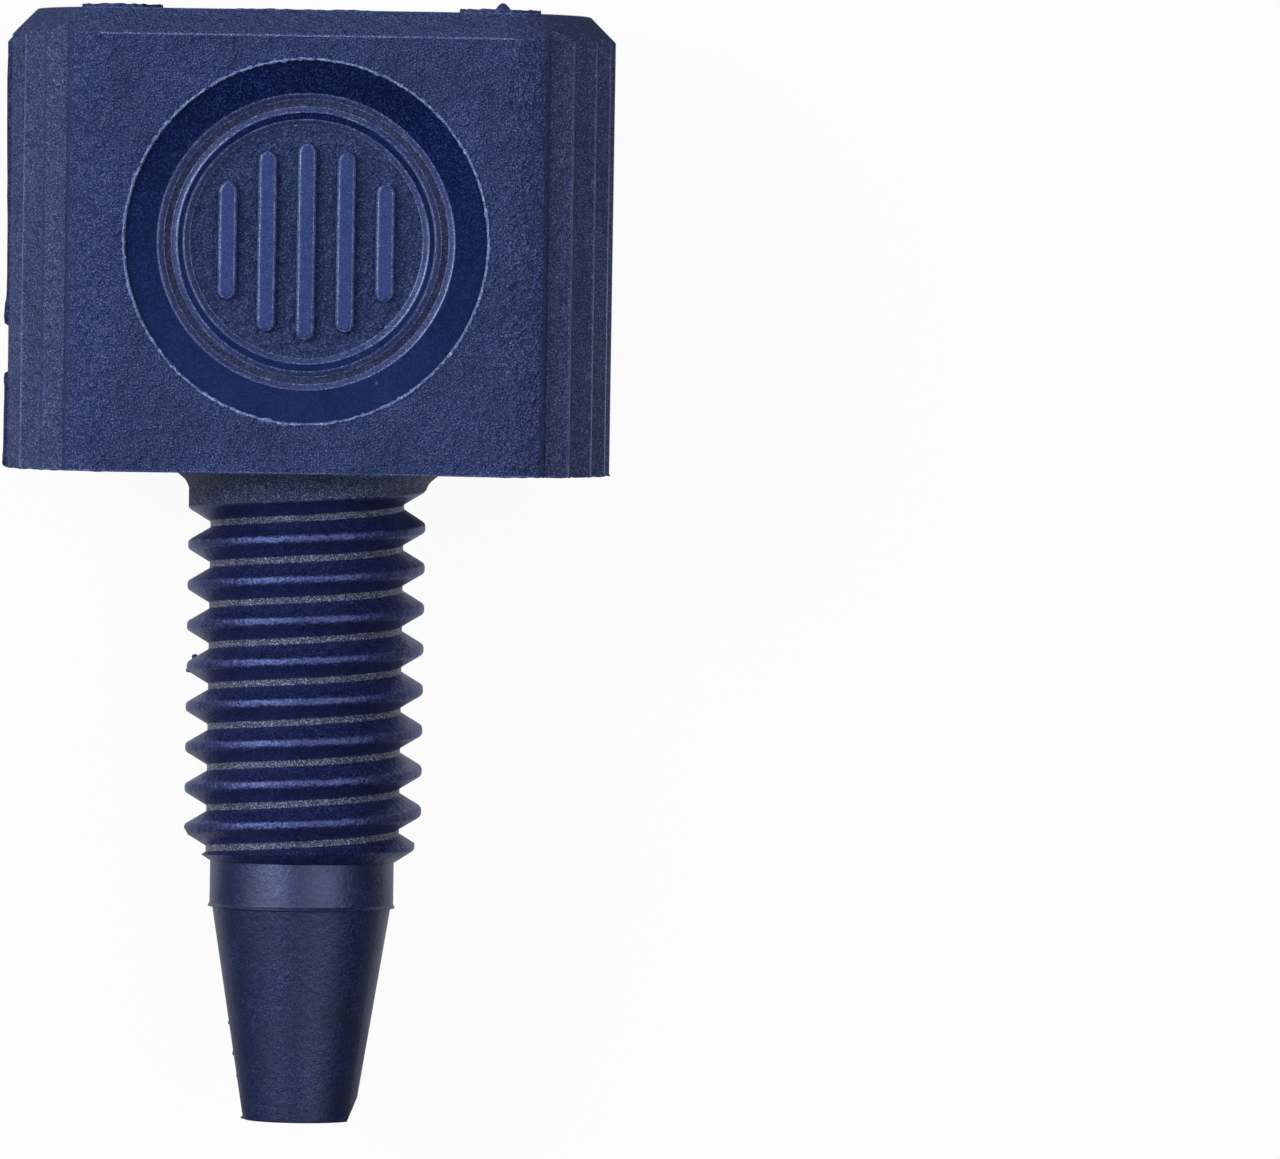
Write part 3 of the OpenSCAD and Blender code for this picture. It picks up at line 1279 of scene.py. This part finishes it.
    def _on_shank(self, height: float, radius: float) -> Region:
        """Tell which area of the shank, or of the head's underside, a face belongs to.

        Args:
            height: Height of the face.
            radius: Distance of the face from the bore axis.

        Returns:
            The area.
        """
        if radius < self.way.bore_radius + self.slack:
            return Region.CUP
        neck_end = self.shank.neck_height + self.neck_band
        if height > -neck_end and radius > self.thread.crest_radius - self.slack:
            return Region.NECK
        if height < -self.thread.length + self.collar_band:
            return Region.SATIN
        if radius < self.thread.root_radius + self.root_band:
            return Region.ROOT
        return Region.FLANK


@dataclass(frozen=True)
class Moulding:
    """The whole moulding: its sub-assemblies, and how they are joined into one piece.

    The crumbs on the cone have their heights counted from its tip.  The underside of the head
    comes to lie at head_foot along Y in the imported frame.
    """

    head: Head = Head()
    pad: GripPad = GripPad()
    thread: Thread = Thread()
    shank: Shank = Shank()
    way: TubeWay = TubeWay()
    marks: PinMarks = PinMarks()
    pad_burr: Bead = Bead(0.024, (0.024, 10.0), 600)
    pad_burr_out: float = 0.002
    pad_burr_heights: Pair = (0.006, -0.016)
    cup_burr: Bead = Bead(0.02, (0.013, 5.0), 300)
    cup_burr_sunk: float = 0.004
    edge_burr: Bead = Bead(0.012, (0.012, 5.0))
    edge_cuts: int = 5
    low_flash: Flash = Flash(
        (
            (5.95, 0.0),
            (5.985, 0.04),
            (5.975, 0.3),
            (5.97, 0.9),
            (5.965, 1.5),
            (5.975, 1.74),
            (5.965, 1.82),
            (5.89, 1.86),
        )
    )
    high_flash: Flash = Flash(
        (
            (5.89, 2.74),
            (5.975, 2.79),
            (5.995, 2.95),
            (5.97, 3.2),
            (5.945, 3.35),
            (5.94, 4.6),
            (5.965, 5.6),
            (5.98, 6.6),
            (5.99, 7.6),
            (5.985, 8.3),
            (5.88, 8.42),
        )
    )
    cone_crumbs: tuple[Crumb, ...] = (
        Crumb((-1.07, -0.02, 0.03), (0.05, 0.05, 0.03)),
        Crumb((-1.37, -0.05, 1.9), (0.03, 0.04, 0.05)),
        Crumb((-1.275, -0.03, 1.31), (0.022, 0.04, 0.07)),
        Crumb((-1.203, -0.04, 0.85), (0.018, 0.04, 0.06)),
    )
    crest_crumbs: tuple[Crumb, ...] = (
        Crumb((-2.14, -0.02, -3.71), (0.07, 0.09, 0.075)),
        Crumb((-2.27, -0.02, -3.93), (0.06, 0.08, 0.055)),
    )
    crisp_angle: float = 32.0
    head_foot: float = 1.8

    @property
    def tip_z(self) -> float:
        """Height of the tip of the sealing cone."""
        return -self.shank.length(self.thread)

    @property
    def pad_places(self) -> list[Matrix]:
        """Place of the grip pad on each wide flat.

        Returns:
            The moves from a flat at Z = 0 to the upper flat and to the one it rests on.
        """
        upright = Matrix.Rotation(math.pi / 2, 4, "X")
        flat = Matrix.Translation((0, -self.head.flat, self.head.height / 2)) @ upright
        return [flat, Matrix.Rotation(math.pi, 4, "Z") @ flat]

    def body(self) -> bpy.types.Object:
        """Join and cut the main forms.

        Returns:
            The closed body, without its burrs and flash.
        """
        body = self.head.build()
        Bench.combine(body, self.shank.build(self.thread), "UNION")
        Bench.combine(body, self.thread.build(), "UNION")
        Bench.combine(body, self.way.cutter(self.head, self.tip_z), "DIFFERENCE")
        for place in self.pad_places:
            Bench.combine(body, Bench.place(self.pad.cutter(), place), "DIFFERENCE")
            Bench.combine(body, Bench.place(self.pad.ribs(), place), "UNION")
        for place in self.marks.places(self.head):
            Bench.combine(body, self.marks.dish(place), "DIFFERENCE")
        return body

    def trims(self) -> list[bpy.types.Object]:
        """Model every burr, the flash, the gate's stub and the crumbs.

        Returns:
            The small ragged pieces that stand on the body's edges.
        """
        made = [self.marks.burr(place) for place in self.marks.places(self.head)]
        for place, height in zip(self.pad_places, self.pad_burr_heights):
            ring = self.pad_burr.ring("pad_burr", self.pad.radius + self.pad_burr_out, height)
            made.append(Bench.place(ring, place))
        rim = self.head.height - self.cup_burr_sunk
        made.append(self.cup_burr.ring("cup_burr", self.way.mouth_radius, rim))
        made.append(self._edge_burr())
        stub = self.marks.gate(self.head)
        made += [self.low_flash.build(), self.high_flash.build(), stub]
        made += [crumb.build(self.tip_z) for crumb in self.cone_crumbs]
        made += [crumb.build() for crumb in self.crest_crumbs]
        for trim in made:
            self._press_flat(trim)
        return made

    def _edge_burr(self) -> bpy.types.Object:
        """Lay a ragged burr along the lower edge of the head.

        Returns:
            The closed burr.
        """
        burr = self.head.build()
        burr.name = "edge_burr"
        rounding = self.head.edge_rounding
        Bench.edit(burr)
        bpy.ops.mesh.bisect(
            plane_co=(0, 0, rounding),
            plane_no=(0, 0, 1),
            clear_inner=True,
            clear_outer=True,
            threshold=HAIR,
        )
        bpy.ops.mesh.select_all(action="SELECT")
        bpy.ops.transform.translate(value=(0, 0, -rounding))
        bpy.ops.mesh.select_all(action="SELECT")
        bpy.ops.mesh.subdivide(number_cuts=self.edge_cuts)
        Bench.done()
        return self.edge_burr.along(burr)

    def _press_flat(self, trim: bpy.types.Object) -> None:
        """Press a small piece level with the flat that the part rests on."""
        for point in trim.data.vertices:
            point.co.y = min(point.co.y, self.head.flat)

    def dress(self, body: bpy.types.Object, trims: list[bpy.types.Object]) -> bpy.types.Object:
        """Give each face its finish and join the small pieces to the body.

        Args:
            body: The closed body.
            trims: The small pieces on its edges.

        Returns:
            The whole moulding as one object.
        """
        order = [finish.region for finish in FINISHES]
        for piece in [body, *trims]:
            piece.data.materials.clear()
            for finish in FINISHES:
                piece.data.materials.append(finish.material())
        survey = Survey(self.head, self.pad, self.thread, self.shank, self.way)
        for face in body.data.polygons:
            face.material_index = order.index(survey.region_of(face.center, face.normal))
        for trim in trims:
            # The burr round each insert face gets the painted highlight; the other small pieces take
            # the chamfer's finish.
            region = Region.BURR if "pad" in trim.name else Region.CHAMFER
            for face in trim.data.polygons:
                face.material_index = order.index(region)
        return Bench.join([body, *trims])

    def build(self) -> bpy.types.Object:
        """Build, dress and lay down the whole moulding.

        Returns:
            The finished moulding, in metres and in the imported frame.
        """
        body = self.body()
        LOG.info("body: %d faces", len(body.data.polygons))
        trims = self.trims()
        LOG.info("burrs, flash and crumbs: %d pieces", len(trims))
        whole = self.dress(body, trims)
        Bench.shade(whole, self.crisp_angle)
        Bench.pick(whole)
        evening = whole.modifiers.new("evening", "WEIGHTED_NORMAL")
        evening.keep_sharp = True
        bpy.ops.object.modifier_apply(modifier=evening.name)
        return Bench.place(whole, self.laid_down())

    def laid_down(self) -> Matrix:
        """Work out the move from the turning frame, in mm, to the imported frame, in metres.

        Returns:
            The move, which lays the bore along Y and one wide flat on the floor.
        """
        turn = Matrix.Rotation(-math.pi / 2, 4, "X")
        shift = Matrix.Translation((0, self.head_foot, self.head.flat))
        return Matrix.Scale(MM, 4) @ shift @ turn


# ---------------------------------------------------------------------------------------------
# Finishes
# ---------------------------------------------------------------------------------------------


def opaque(colour: Triple) -> tuple[float, float, float, float]:
    """Give a colour full opacity."""
    return (*colour, 1.0)


class Card:
    """A node tree that is being filled: nodes are added by column and row, and fed.

    The colour sockets of a Mix node share their names with its other sockets, so mix_colours
    holds the numbers of its two colour inputs and of its colour output.
    """

    column_width: int = 220
    row_height: int = 260
    mix_colours: tuple[int, int, int] = (6, 7, 2)

    def __init__(self, tree: bpy.types.NodeTree) -> None:
        """Take a tree and empty it."""
        self.tree = tree
        tree.nodes.clear()

    def feed(self, socket: bpy.types.NodeSocket, value: Feed) -> None:
        """Connect an output to an input, or set the input to a number or a colour.

        Args:
            socket: The input.
            value: The output, number or colour.
        """
        if isinstance(value, bpy.types.NodeSocket):
            self.tree.links.new(value, socket)
        else:
            socket.default_value = value

    def add(
        self,
        kind: str,
        column: int,
        row: int,
        feeds: dict[str | int, Feed] | None = None,
        **settings: object,
    ) -> bpy.types.Node:
        """Add a node.

        Args:
            kind: The node's type, without the ShaderNode that it starts with.
            column: Its column, counted from the left.
            row: Its row, counted from the top.
            feeds: What goes into its inputs, by the name or the number of each.
            **settings: Properties of the node to set.

        Returns:
            The node.
        """
        name = kind if kind.startswith("NodeGroup") else "ShaderNode" + kind
        node = self.tree.nodes.new(name)
        node.location = (column * self.column_width, -row * self.row_height)
        for key, value in settings.items():
            setattr(node, key, value)
        for key, value in (feeds or {}).items():
            self.feed(node.inputs[key], value)
        return node

    def math(self, column: int, row: int, step: str, *values: Feed) -> bpy.types.NodeSocket:
        """Add a Math node with given values on its inputs, in order, and hand back its output."""
        node = self.add("Math", column, row, dict(enumerate(values)), operation=step)
        return node.outputs[0]

    def spread(
        self, column: int, row: int, value: Feed, span: Span, result: tuple[Feed, Feed] = (0.0, 1.0)
    ) -> bpy.types.NodeSocket:
        """Add a Map Range node that spreads one span over another.

        Args:
            column: Its column.
            row: Its row.
            value: The value to spread.
            span: The two values that are spread to the ends of the result.
            result: The two ends of the result.

        Returns:
            Its output.
        """
        feeds = {
            "Value": value,
            "From Min": span[0],
            "From Max": span[1],
            "To Min": result[0],
            "To Max": result[1],
        }
        return self.add("MapRange", column, row, feeds).outputs["Result"]

    def blend(
        self, column: int, row: int, share: Feed, base: Feed, colour: Triple
    ) -> bpy.types.NodeSocket:
        """Add a node that mixes a colour towards another.

        Args:
            column: Its column.
            row: Its row.
            share: Share of the second colour.
            base: The first colour.
            colour: The second colour.

        Returns:
            The mixed colour.
        """
        first, second, mixed = self.mix_colours
        feeds = {"Factor": share, first: base, second: opaque(colour)}
        return self.add("Mix", column, row, feeds, data_type="RGBA").outputs[mixed]


class Group:
    """A node group that is being filled, with a card for its nodes."""

    def __init__(self, name: str, inputs: dict[str, str], outputs: list[str]) -> None:
        """Start the group with its named sockets.

        Args:
            name: Name of the group.
            inputs: The kind of each input socket, Float or Vector, by name.
            outputs: Names of the output sockets, all of them floats.
        """
        tree = bpy.data.node_groups.new(name, "ShaderNodeTree")
        for socket, kind in inputs.items():
            tree.interface.new_socket(socket, in_out="INPUT", socket_type="NodeSocket" + kind)
        for socket in outputs:
            tree.interface.new_socket(socket, in_out="OUTPUT", socket_type="NodeSocketFloat")
        self.card = Card(tree)
        self.start = self.card.add("NodeGroupInput", 0, 0).outputs
        self.end = self.card.add("NodeGroupOutput", 6, 0).inputs

    def noise(self, row: int, share: float, detail: float) -> bpy.types.NodeSocket:
        """Add a noise that is scaled from the group's own Scale.

        Args:
            row: The row of its nodes.
            share: Its scale, as a share of the group's.
            detail: Its detail.

        Returns:
            The value of the noise.
        """
        scale = self.card.math(1, row, "MULTIPLY", self.start["Scale"], share)
        feeds = {"Vector": self.start["Vector"], "Scale": scale, "Detail": detail}
        return self.card.add("TexNoise", 2, row, feeds).outputs["Fac"]


@dataclass(frozen=True)
class ErodedGrain:
    """The grain that a spark-eroded mould leaves on the plastic.

    Each share is the scale of a noise as a share of the group's Scale.  Each span is the part of
    a noise that is spread over the whole output.
    """

    name: str = "eroded_grain"
    pit_detail: float = 2.0
    swell_share: float = 0.3
    swell_height: float = 1.8
    height_span: Span = (0.7, 2.1)
    speck_share: float = 1.6
    speck_drift: float = 0.15
    speck_span: Span = (0.555, 0.82)
    cloud_share: float = 0.045
    cloud_detail: float = 5.0
    cloud_span: Span = (0.3, 0.7)

    def tree(self) -> bpy.types.NodeTree:
        """Make, or fetch, the node group.

        Returns:
            A group with Vector and Scale inputs, and Height, Specks and Clouds outputs.
        """
        if self.name in bpy.data.node_groups:
            return bpy.data.node_groups[self.name]
        inputs = {"Vector": "Vector", "Scale": "Float"}
        group = Group(self.name, inputs, ["Height", "Specks", "Clouds"])
        card = group.card
        pits = group.noise(0, 1.0, self.pit_detail)
        swell = group.noise(3, self.swell_share, 1.0)
        height = card.math(3, 3, "MULTIPLY_ADD", swell, self.swell_height, pits)
        card.feed(group.end["Height"], card.spread(4, 0, height, self.height_span))
        tips = group.noise(1, self.speck_share, 1.0)
        strewn = card.math(3, 1, "MULTIPLY_ADD", swell, self.speck_drift, tips)
        card.feed(group.end["Specks"], card.spread(4, 1, strewn, self.speck_span))
        drift = group.noise(2, self.cloud_share, self.cloud_detail)
        card.feed(group.end["Clouds"], card.spread(4, 2, drift, self.cloud_span))
        return card.tree


@dataclass(frozen=True)
class DustSpecks:
    """The scattered dust and tiny scratches that catch the light, few of them large."""

    name: str = "dust_specks"
    rarity: float = 6.0

    def tree(self) -> bpy.types.NodeTree:
        """Make, or fetch, the node group.

        Returns:
            A group with Vector, Scale and Size inputs and a Mask output.
        """
        if self.name in bpy.data.node_groups:
            return bpy.data.node_groups[self.name]
        inputs = {"Vector": "Vector", "Scale": "Float", "Size": "Float"}
        group = Group(self.name, inputs, ["Mask"])
        card, start = group.card, group.start
        cells = card.add(
            "TexVoronoi", 1, 0, {"Vector": start["Vector"], "Scale": start["Scale"]}
        ).outputs
        sizes = card.add("SeparateColor", 2, 1, {"Color": cells["Color"]}).outputs
        grown = card.math(3, 1, "POWER", sizes[0], self.rarity)
        reach = card.math(4, 1, "MULTIPLY", grown, start["Size"])
        near = card.math(5, 0, "LESS_THAN", cells["Distance"], reach)
        card.feed(group.end["Mask"], near)
        return card.tree


@dataclass(frozen=True)
class PlasticFinish:
    """One finish of the navy plastic: its colours, gloss and grain.

    Colours are linear.  Grain sizes and heights are in millimetres.
    """

    region: Region
    deep: Triple
    tips: Triple
    roughness: float
    specular: float = 0.5
    tint: Triple = (0.5, 0.6, 1.0)
    grain: float = 0.05
    relief: float = 0.006
    speckle: float = 0.6
    clouds: float = 0.12
    cloud_shade: float = 0.55
    cloud_gloss: Span = (0.92, 1.1)
    dust: float = 0.3
    dust_colour: Triple = (0.16, 0.24, 0.48)
    dust_pitch: float = 0.35
    dust_size: float = 0.1
    index: float = 1.5
    # A painted sheen lightens the colour towards the neck: up to this share of the tips colour,
    # along Y over the span below, in millimetres.
    wear_and_painted_sheen: float = 0.0
    painted_sheen_span: Span = (9.0, 3.2)

    def material(self) -> bpy.types.Material:
        """Make, or fetch, the material of this finish.

        Returns:
            The material, named after the region.
        """
        name = self.region.value
        if name in bpy.data.materials:
            return bpy.data.materials[name]
        material = bpy.data.materials.new(name)
        material.use_nodes = True
        card = Card(material.node_tree)
        place = card.add("TexCoord", 0, 0).outputs["Object"]
        feeds = {"Vector": place, "Scale": 1 / (self.grain * MM)}
        grain = card.add("Group", 2, 0, feeds, node_tree=ErodedGrain().tree()).outputs
        feeds = {
            "Base Color": self._colour(card, place, grain),
            "Roughness": self._gloss(card, grain["Clouds"]),
            "Normal": self._raised(card, grain["Height"]),
            "IOR": self.index,
            "Specular IOR Level": self.specular,
            "Specular Tint": opaque(self.tint),
        }
        surface = card.add("BsdfPrincipled", 8, 0, feeds)
        card.add("OutputMaterial", 10, 0, {"Surface": surface.outputs["BSDF"]})
        return material

    def _colour(
        self,
        card: Card,
        place: bpy.types.NodeSocket,
        grain: bpy.types.NodeOutputs,
    ) -> bpy.types.NodeSocket:
        """Mix the deep colour with the specks, the painted sheen, the clouds and the dust.

        Args:
            card: The material's tree.
            place: Output that gives the place on the piece.
            grain: Outputs of the grain's group.

        Returns:
            The mixed colour.
        """
        share = card.math(3, 0, "MULTIPLY", grain["Specks"], self.speckle)
        speckled = card.blend(4, 0, share, opaque(self.deep), self.tips)
        # Painted sheen, lighter towards the neck.
        sheened = self._paint_sheen(card, place, speckled)
        share = card.math(4, 1, "MULTIPLY", grain["Clouds"], self.clouds)
        shade = tuple(channel * self.cloud_shade for channel in self.deep)
        clouded = card.blend(5, 0, share, sheened, shade)
        feeds = {"Vector": place, "Scale": 1 / (self.dust_pitch * MM), "Size": self.dust_size}
        dust = card.add("Group", 3, 2, feeds, node_tree=DustSpecks().tree())
        share = card.math(5, 2, "MULTIPLY", dust.outputs["Mask"], self.dust)
        return card.blend(6, 0, share, clouded, self.dust_colour)

    def _paint_sheen(
        self, card: Card, place: bpy.types.NodeSocket, speckled: bpy.types.NodeSocket
    ) -> bpy.types.NodeSocket:
        """Paint a sheen that lightens the polish more and more towards the neck.

        Args:
            card: The material's tree.
            place: Output that gives the place on the piece.
            speckled: The speckled colour.

        Returns:
            The colour with the painted sheen.
        """
        parts = card.add("SeparateXYZ", 1, 5, {0: place}).outputs
        span = (self.painted_sheen_span[0] * MM, self.painted_sheen_span[1] * MM)
        share = card.spread(2, 5, parts["Y"], span, (0.0, self.wear_and_painted_sheen))
        return card.blend(4, 5, share, speckled, self.tips)

    def _gloss(self, card: Card, clouds: bpy.types.NodeSocket) -> bpy.types.NodeSocket:
        """Let the gloss drift a little with the clouds, and hand back the roughness."""
        low, high = (self.roughness * share for share in self.cloud_gloss)
        return card.spread(5, 3, clouds, (0.0, 1.0), (low, min(1.0, high)))

    def _raised(self, card: Card, height: bpy.types.NodeSocket) -> bpy.types.NodeSocket:
        """Raise the grain, and hand back the normal."""
        feeds = {"Strength": 1.0, "Distance": self.relief * MM, "Height": height}
        return card.add("Bump", 6, 4, feeds).outputs["Normal"]


FINISHES = (
    PlasticFinish(
        Region.ERODED,
        deep=(0.018, 0.037, 0.145),
        tips=(0.21, 0.25, 0.54),
        roughness=0.7,
        relief=0.13,
        speckle=0.8,
        clouds=0.4,
    ),
    PlasticFinish(
        # Painted shade: a little darker than the eroded faces, to offset the key lamp that lights
        # the chamfer more.
        Region.CHAMFER,
        deep=(0.02, 0.037, 0.128),
        tips=(0.17, 0.21, 0.43),
        roughness=0.65,
        relief=0.07,
        speckle=0.7,
    ),
    PlasticFinish(
        Region.INSERT,
        deep=(0.0015, 0.006, 0.045),
        tips=(0.024, 0.05, 0.19),
        roughness=0.12,
        relief=0.0006,
        speckle=0.9,
        clouds=0.4,
        # Painted sheen: the insert grows lighter towards the neck.
        wear_and_painted_sheen=0.5,
    ),
    PlasticFinish(
        # Painted shade: darker than the eroded faces, for the shade that the pocket's walls cast on
        # its floor.
        Region.POCKET,
        deep=(0.008, 0.02, 0.08),
        tips=(0.1, 0.14, 0.33),
        roughness=0.6,
        relief=0.07,
        speckle=0.8,
    ),
    PlasticFinish(
        Region.RELIEF,
        deep=(0.014, 0.034, 0.15),
        tips=(0.06, 0.1, 0.34),
        roughness=0.45,
        relief=0.01,
        speckle=0.8,
    ),
    PlasticFinish(
        Region.FLANK,
        deep=(0.0008, 0.003, 0.026),
        tips=(0.05, 0.075, 0.29),
        roughness=0.44,
        specular=1.0,
        tint=(0.34, 0.43, 1.0),
        relief=0.021,
        speckle=1.0,
        index=1.8,
    ),
    PlasticFinish(
        Region.ROOT,
        deep=(0.028, 0.035, 0.068),
        tips=(0.38, 0.4, 0.53),
        roughness=0.5,
        relief=0.014,
        speckle=0.9,
    ),
    PlasticFinish(
        Region.SATIN,
        deep=(0.0006, 0.0045, 0.032),
        tips=(0.06, 0.09, 0.31),
        roughness=0.42,
        specular=1.0,
        grain=0.035,
        relief=0.0055,
        speckle=0.9,
        clouds=0.7,
        index=1.55,
    ),
    PlasticFinish(
        Region.CUP,
        deep=(0.01, 0.018, 0.07),
        tips=(0.02, 0.03, 0.1),
        roughness=0.4,
        relief=0.004,
    ),
    PlasticFinish(
        # Painted highlight: a light colour for the light that the thin burr catches.
        Region.BURR,
        deep=(0.09, 0.15, 0.38),
        tips=(0.45, 0.56, 0.85),
        roughness=0.35,
        specular=0.8,
        relief=0.01,
        speckle=1.0,
    ),
    PlasticFinish(
        # Painted highlight: lighter than the eroded faces, for the glint on edges, with a glossier
        # real finish.
        Region.EDGE,
        deep=(0.035, 0.06, 0.2),
        tips=(0.32, 0.38, 0.7),
        roughness=0.3,
        specular=1.0,
        tint=(0.7, 0.8, 1.0),
        relief=0.012,
        speckle=1.0,
    ),
    PlasticFinish(
        Region.NECK,
        deep=(0.028, 0.044, 0.115),
        tips=(0.32, 0.35, 0.52),
        roughness=0.65,
        relief=0.06,
        speckle=0.8,
    ),
    PlasticFinish(
        # Painted shade: darker than the eroded faces, for the shade in the creases and on the -X
        # tooth tips.
        Region.CREASE,
        deep=(0.016, 0.033, 0.125),
        tips=(0.15, 0.19, 0.4),
        roughness=0.7,
        specular=0.4,
        relief=0.05,
        speckle=0.8,
    ),
    PlasticFinish(
        # Painted shade: a dark colour for the shade in the groove round the ring.
        Region.GROOVE,
        deep=(0.014, 0.02, 0.06),
        tips=(0.09, 0.11, 0.22),
        roughness=0.6,
        relief=0.05,
        speckle=0.8,
    ),
    PlasticFinish(
        # Painted sheen: lighter than the eroded faces, for the sheen of the tooth flanks under the
        # lamps.
        Region.TEETH,
        deep=(0.025, 0.043, 0.145),
        tips=(0.26, 0.3, 0.55),
        roughness=0.62,
        specular=0.7,
        relief=0.1,
        speckle=0.8,
        clouds=0.3,
    ),
)


# ---------------------------------------------------------------------------------------------
# Floor, light and camera
# ---------------------------------------------------------------------------------------------


@dataclass(frozen=True)
class Softbox:
    """An oblong softbox that hangs above the part and is turned towards it, with power in watts."""

    name: str
    place: Triple
    size: Pair
    power: float

    def build(self) -> None:
        """Hang the lamp, with the second of its sizes along the bore axis."""
        Bench.clear()
        place = Vector(self.place)
        bpy.ops.object.light_add(type="AREA", location=place)
        lamp = bpy.context.object
        lamp.name = self.name
        lamp.data.shape = "RECTANGLE"
        lamp.data.size, lamp.data.size_y = self.size
        lamp.data.energy = self.power
        lamp.visible_camera = False
        lamp.rotation_euler = (-place).to_track_quat("-Z", "Y").to_euler()


@dataclass(frozen=True)
class Studio:
    """A white floor and world, with a soft key lamp to the left and a weaker one to the right.

    The spans of the world are parts of a direction's X, Y or Z, which runs from -1 to 1.
    """

    floor_size: float = 3.0
    floor_drop: float = 0.00001
    floor_colour: tuple[float, ...] = (0.6, 0.6, 0.6, 1.0)
    floor_shadow: float = 0.05
    near_reach: Span = (0.008, 0.014)
    near_glow: float = 0.8
    far_glow: float = 0.06
    key: Softbox = Softbox("key_softbox", (-0.575, 0.22, 0.675), (0.475, 0.8), 6.8)
    fill: Softbox = Softbox("fill_softbox", (0.4375, 0.05, 0.785), (0.5, 0.75), 3.2)
    white: tuple[float, ...] = (1.0, 1.0, 1.0, 1.0)
    zenith: float = 0.064
    zenith_span: Span = (0.2, 0.9)
    left_horizon: float = 0.224
    right_horizon: float = 0.024
    side_span: Span = (-0.5, 0.5)
    front_share: float = 0.2
    front_span: Span = (-0.6, 0.2)

    def build(self) -> None:
        """Build the floor, the world and the lamps."""
        self._floor()
        self._world()
        self.key.build()
        self.fill.build()
        LOG.info("studio: floor, world and two softboxes")

    def _floor(self) -> None:
        """Lay the floor just below the part."""
        Bench.clear()
        bpy.ops.mesh.primitive_plane_add(size=self.floor_size, location=(0, 0, -self.floor_drop))
        floor = bpy.context.object
        floor.name = "floor"
        bpy.ops.object.transform_apply(location=True, rotation=True, scale=True)
        floor.data.materials.append(self._floor_material())

    def _floor_material(self) -> bpy.types.Material:
        """Make the floor's material.

        It is white to the camera but for the shadow on it.  Mirrored by the part it is pale near
        the part and dark further away.

        Returns:
            The material.
        """
        material = bpy.data.materials.new("white_floor")
        material.use_nodes = True
        card = Card(material.node_tree)
        seen = card.add("LightPath", 0, 1).outputs
        place = card.add("TexCoord", -1, 3).outputs["Object"]
        away = card.add("VectorMath", 0, 3, {0: place}, operation="LENGTH").outputs["Value"]
        mirrored = card.spread(1, 3, away, self.near_reach, (self.near_glow, self.far_glow))
        strength = card.math(1, 2, "MAXIMUM", seen["Is Camera Ray"], mirrored)
        glow = card.add("Emission", 2, 1, {"Strength": strength})
        rays = card.math(1, 0, "MAXIMUM", seen["Is Glossy Ray"], seen["Is Transmission Ray"])
        rays = card.math(1, 1, "MAXIMUM", seen["Is Camera Ray"], rays)
        share = card.math(2, 2, "MULTIPLY", rays, 1 - self.floor_shadow)
        paint = card.add("BsdfDiffuse", 2, 0, {"Color": self.floor_colour})
        mix = card.add("MixShader", 3, 0, {0: share, 1: paint.outputs[0], 2: glow.outputs[0]})
        card.add("OutputMaterial", 4, 0, {"Surface": mix.outputs[0]})
        return material

    def _world(self) -> None:
        """Make a world that is white to the camera, and lights the part dimly from the left.

        Rays that the part mirrors see it dim as well, so that the polished pads stay dark.
        """
        world = bpy.data.worlds.new("studio_world")
        bpy.context.scene.world = world
        world.use_nodes = True
        card = Card(world.node_tree)
        place = card.add("TexCoord", 0, 0).outputs["Generated"]
        parts = card.add("SeparateXYZ", 1, 0, {0: place}).outputs
        horizon = (self.left_horizon, self.right_horizon)
        side = card.spread(2, 1, parts["X"], self.side_span, horizon)
        front = card.spread(2, 2, parts["Y"], self.front_span, (self.front_share, 1.0))
        low = card.math(3, 2, "MULTIPLY", side, front)
        sky = card.spread(3, 0, parts["Z"], self.zenith_span, (low, self.zenith))
        seen = card.add("LightPath", 2, 3).outputs
        through = card.math(3, 3, "MAXIMUM", seen["Is Camera Ray"], seen["Is Transmission Ray"])
        strength = card.math(4, 0, "MAXIMUM", through, sky)
        back = card.add("Background", 5, 0, {"Color": self.white, "Strength": strength})
        card.add("OutputWorld", 6, 0, {"Surface": back.outputs[0]})


@dataclass(frozen=True)
class Viewpoint:
    """The camera, high above the part and tilted a little towards its tip.

    The place, lens and sensor are in millimetres, the tilt and roll in degrees, and the nearest
    and furthest distance shown in metres.
    """

    place: Triple = (6.535, 6.085, 253.9)
    lens: float = 359.3
    sensor: float = 36.0
    tilt: float = -1.446
    roll: float = 0.9
    nearest: float = 0.01
    furthest: float = 10.0

    def build(self) -> None:
        """Place the camera and make it the scene's own."""
        Bench.clear()
        place = Vector(self.place) * MM
        bpy.ops.object.camera_add(location=place)
        camera = bpy.context.object
        camera.name = "camera"
        camera.data.lens = self.lens
        camera.data.sensor_width = self.sensor
        camera.data.clip_start = self.nearest
        camera.data.clip_end = self.furthest
        tilt = Matrix.Rotation(math.radians(self.tilt), 4, "X")
        roll = Matrix.Rotation(math.radians(self.roll), 4, "Z")
        camera.matrix_world = Matrix.Translation(place) @ tilt @ roll
        bpy.context.scene.camera = camera
        LOG.info("camera: %.1f mm lens", self.lens)


def main() -> None:
    """Build the part, then the stage round it."""
    logging.basicConfig(level=logging.INFO, format="%(name)s: %(message)s")
    moulding = Moulding().build()
    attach(moulding, "root")
    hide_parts("fitting")
    LOG.info("moulding: %d faces", len(moulding.data.polygons))
    Studio().build()
    Viewpoint().build()
    bpy.context.scene.view_settings.view_transform = "Standard"


if __name__ == "__main__":
    main()
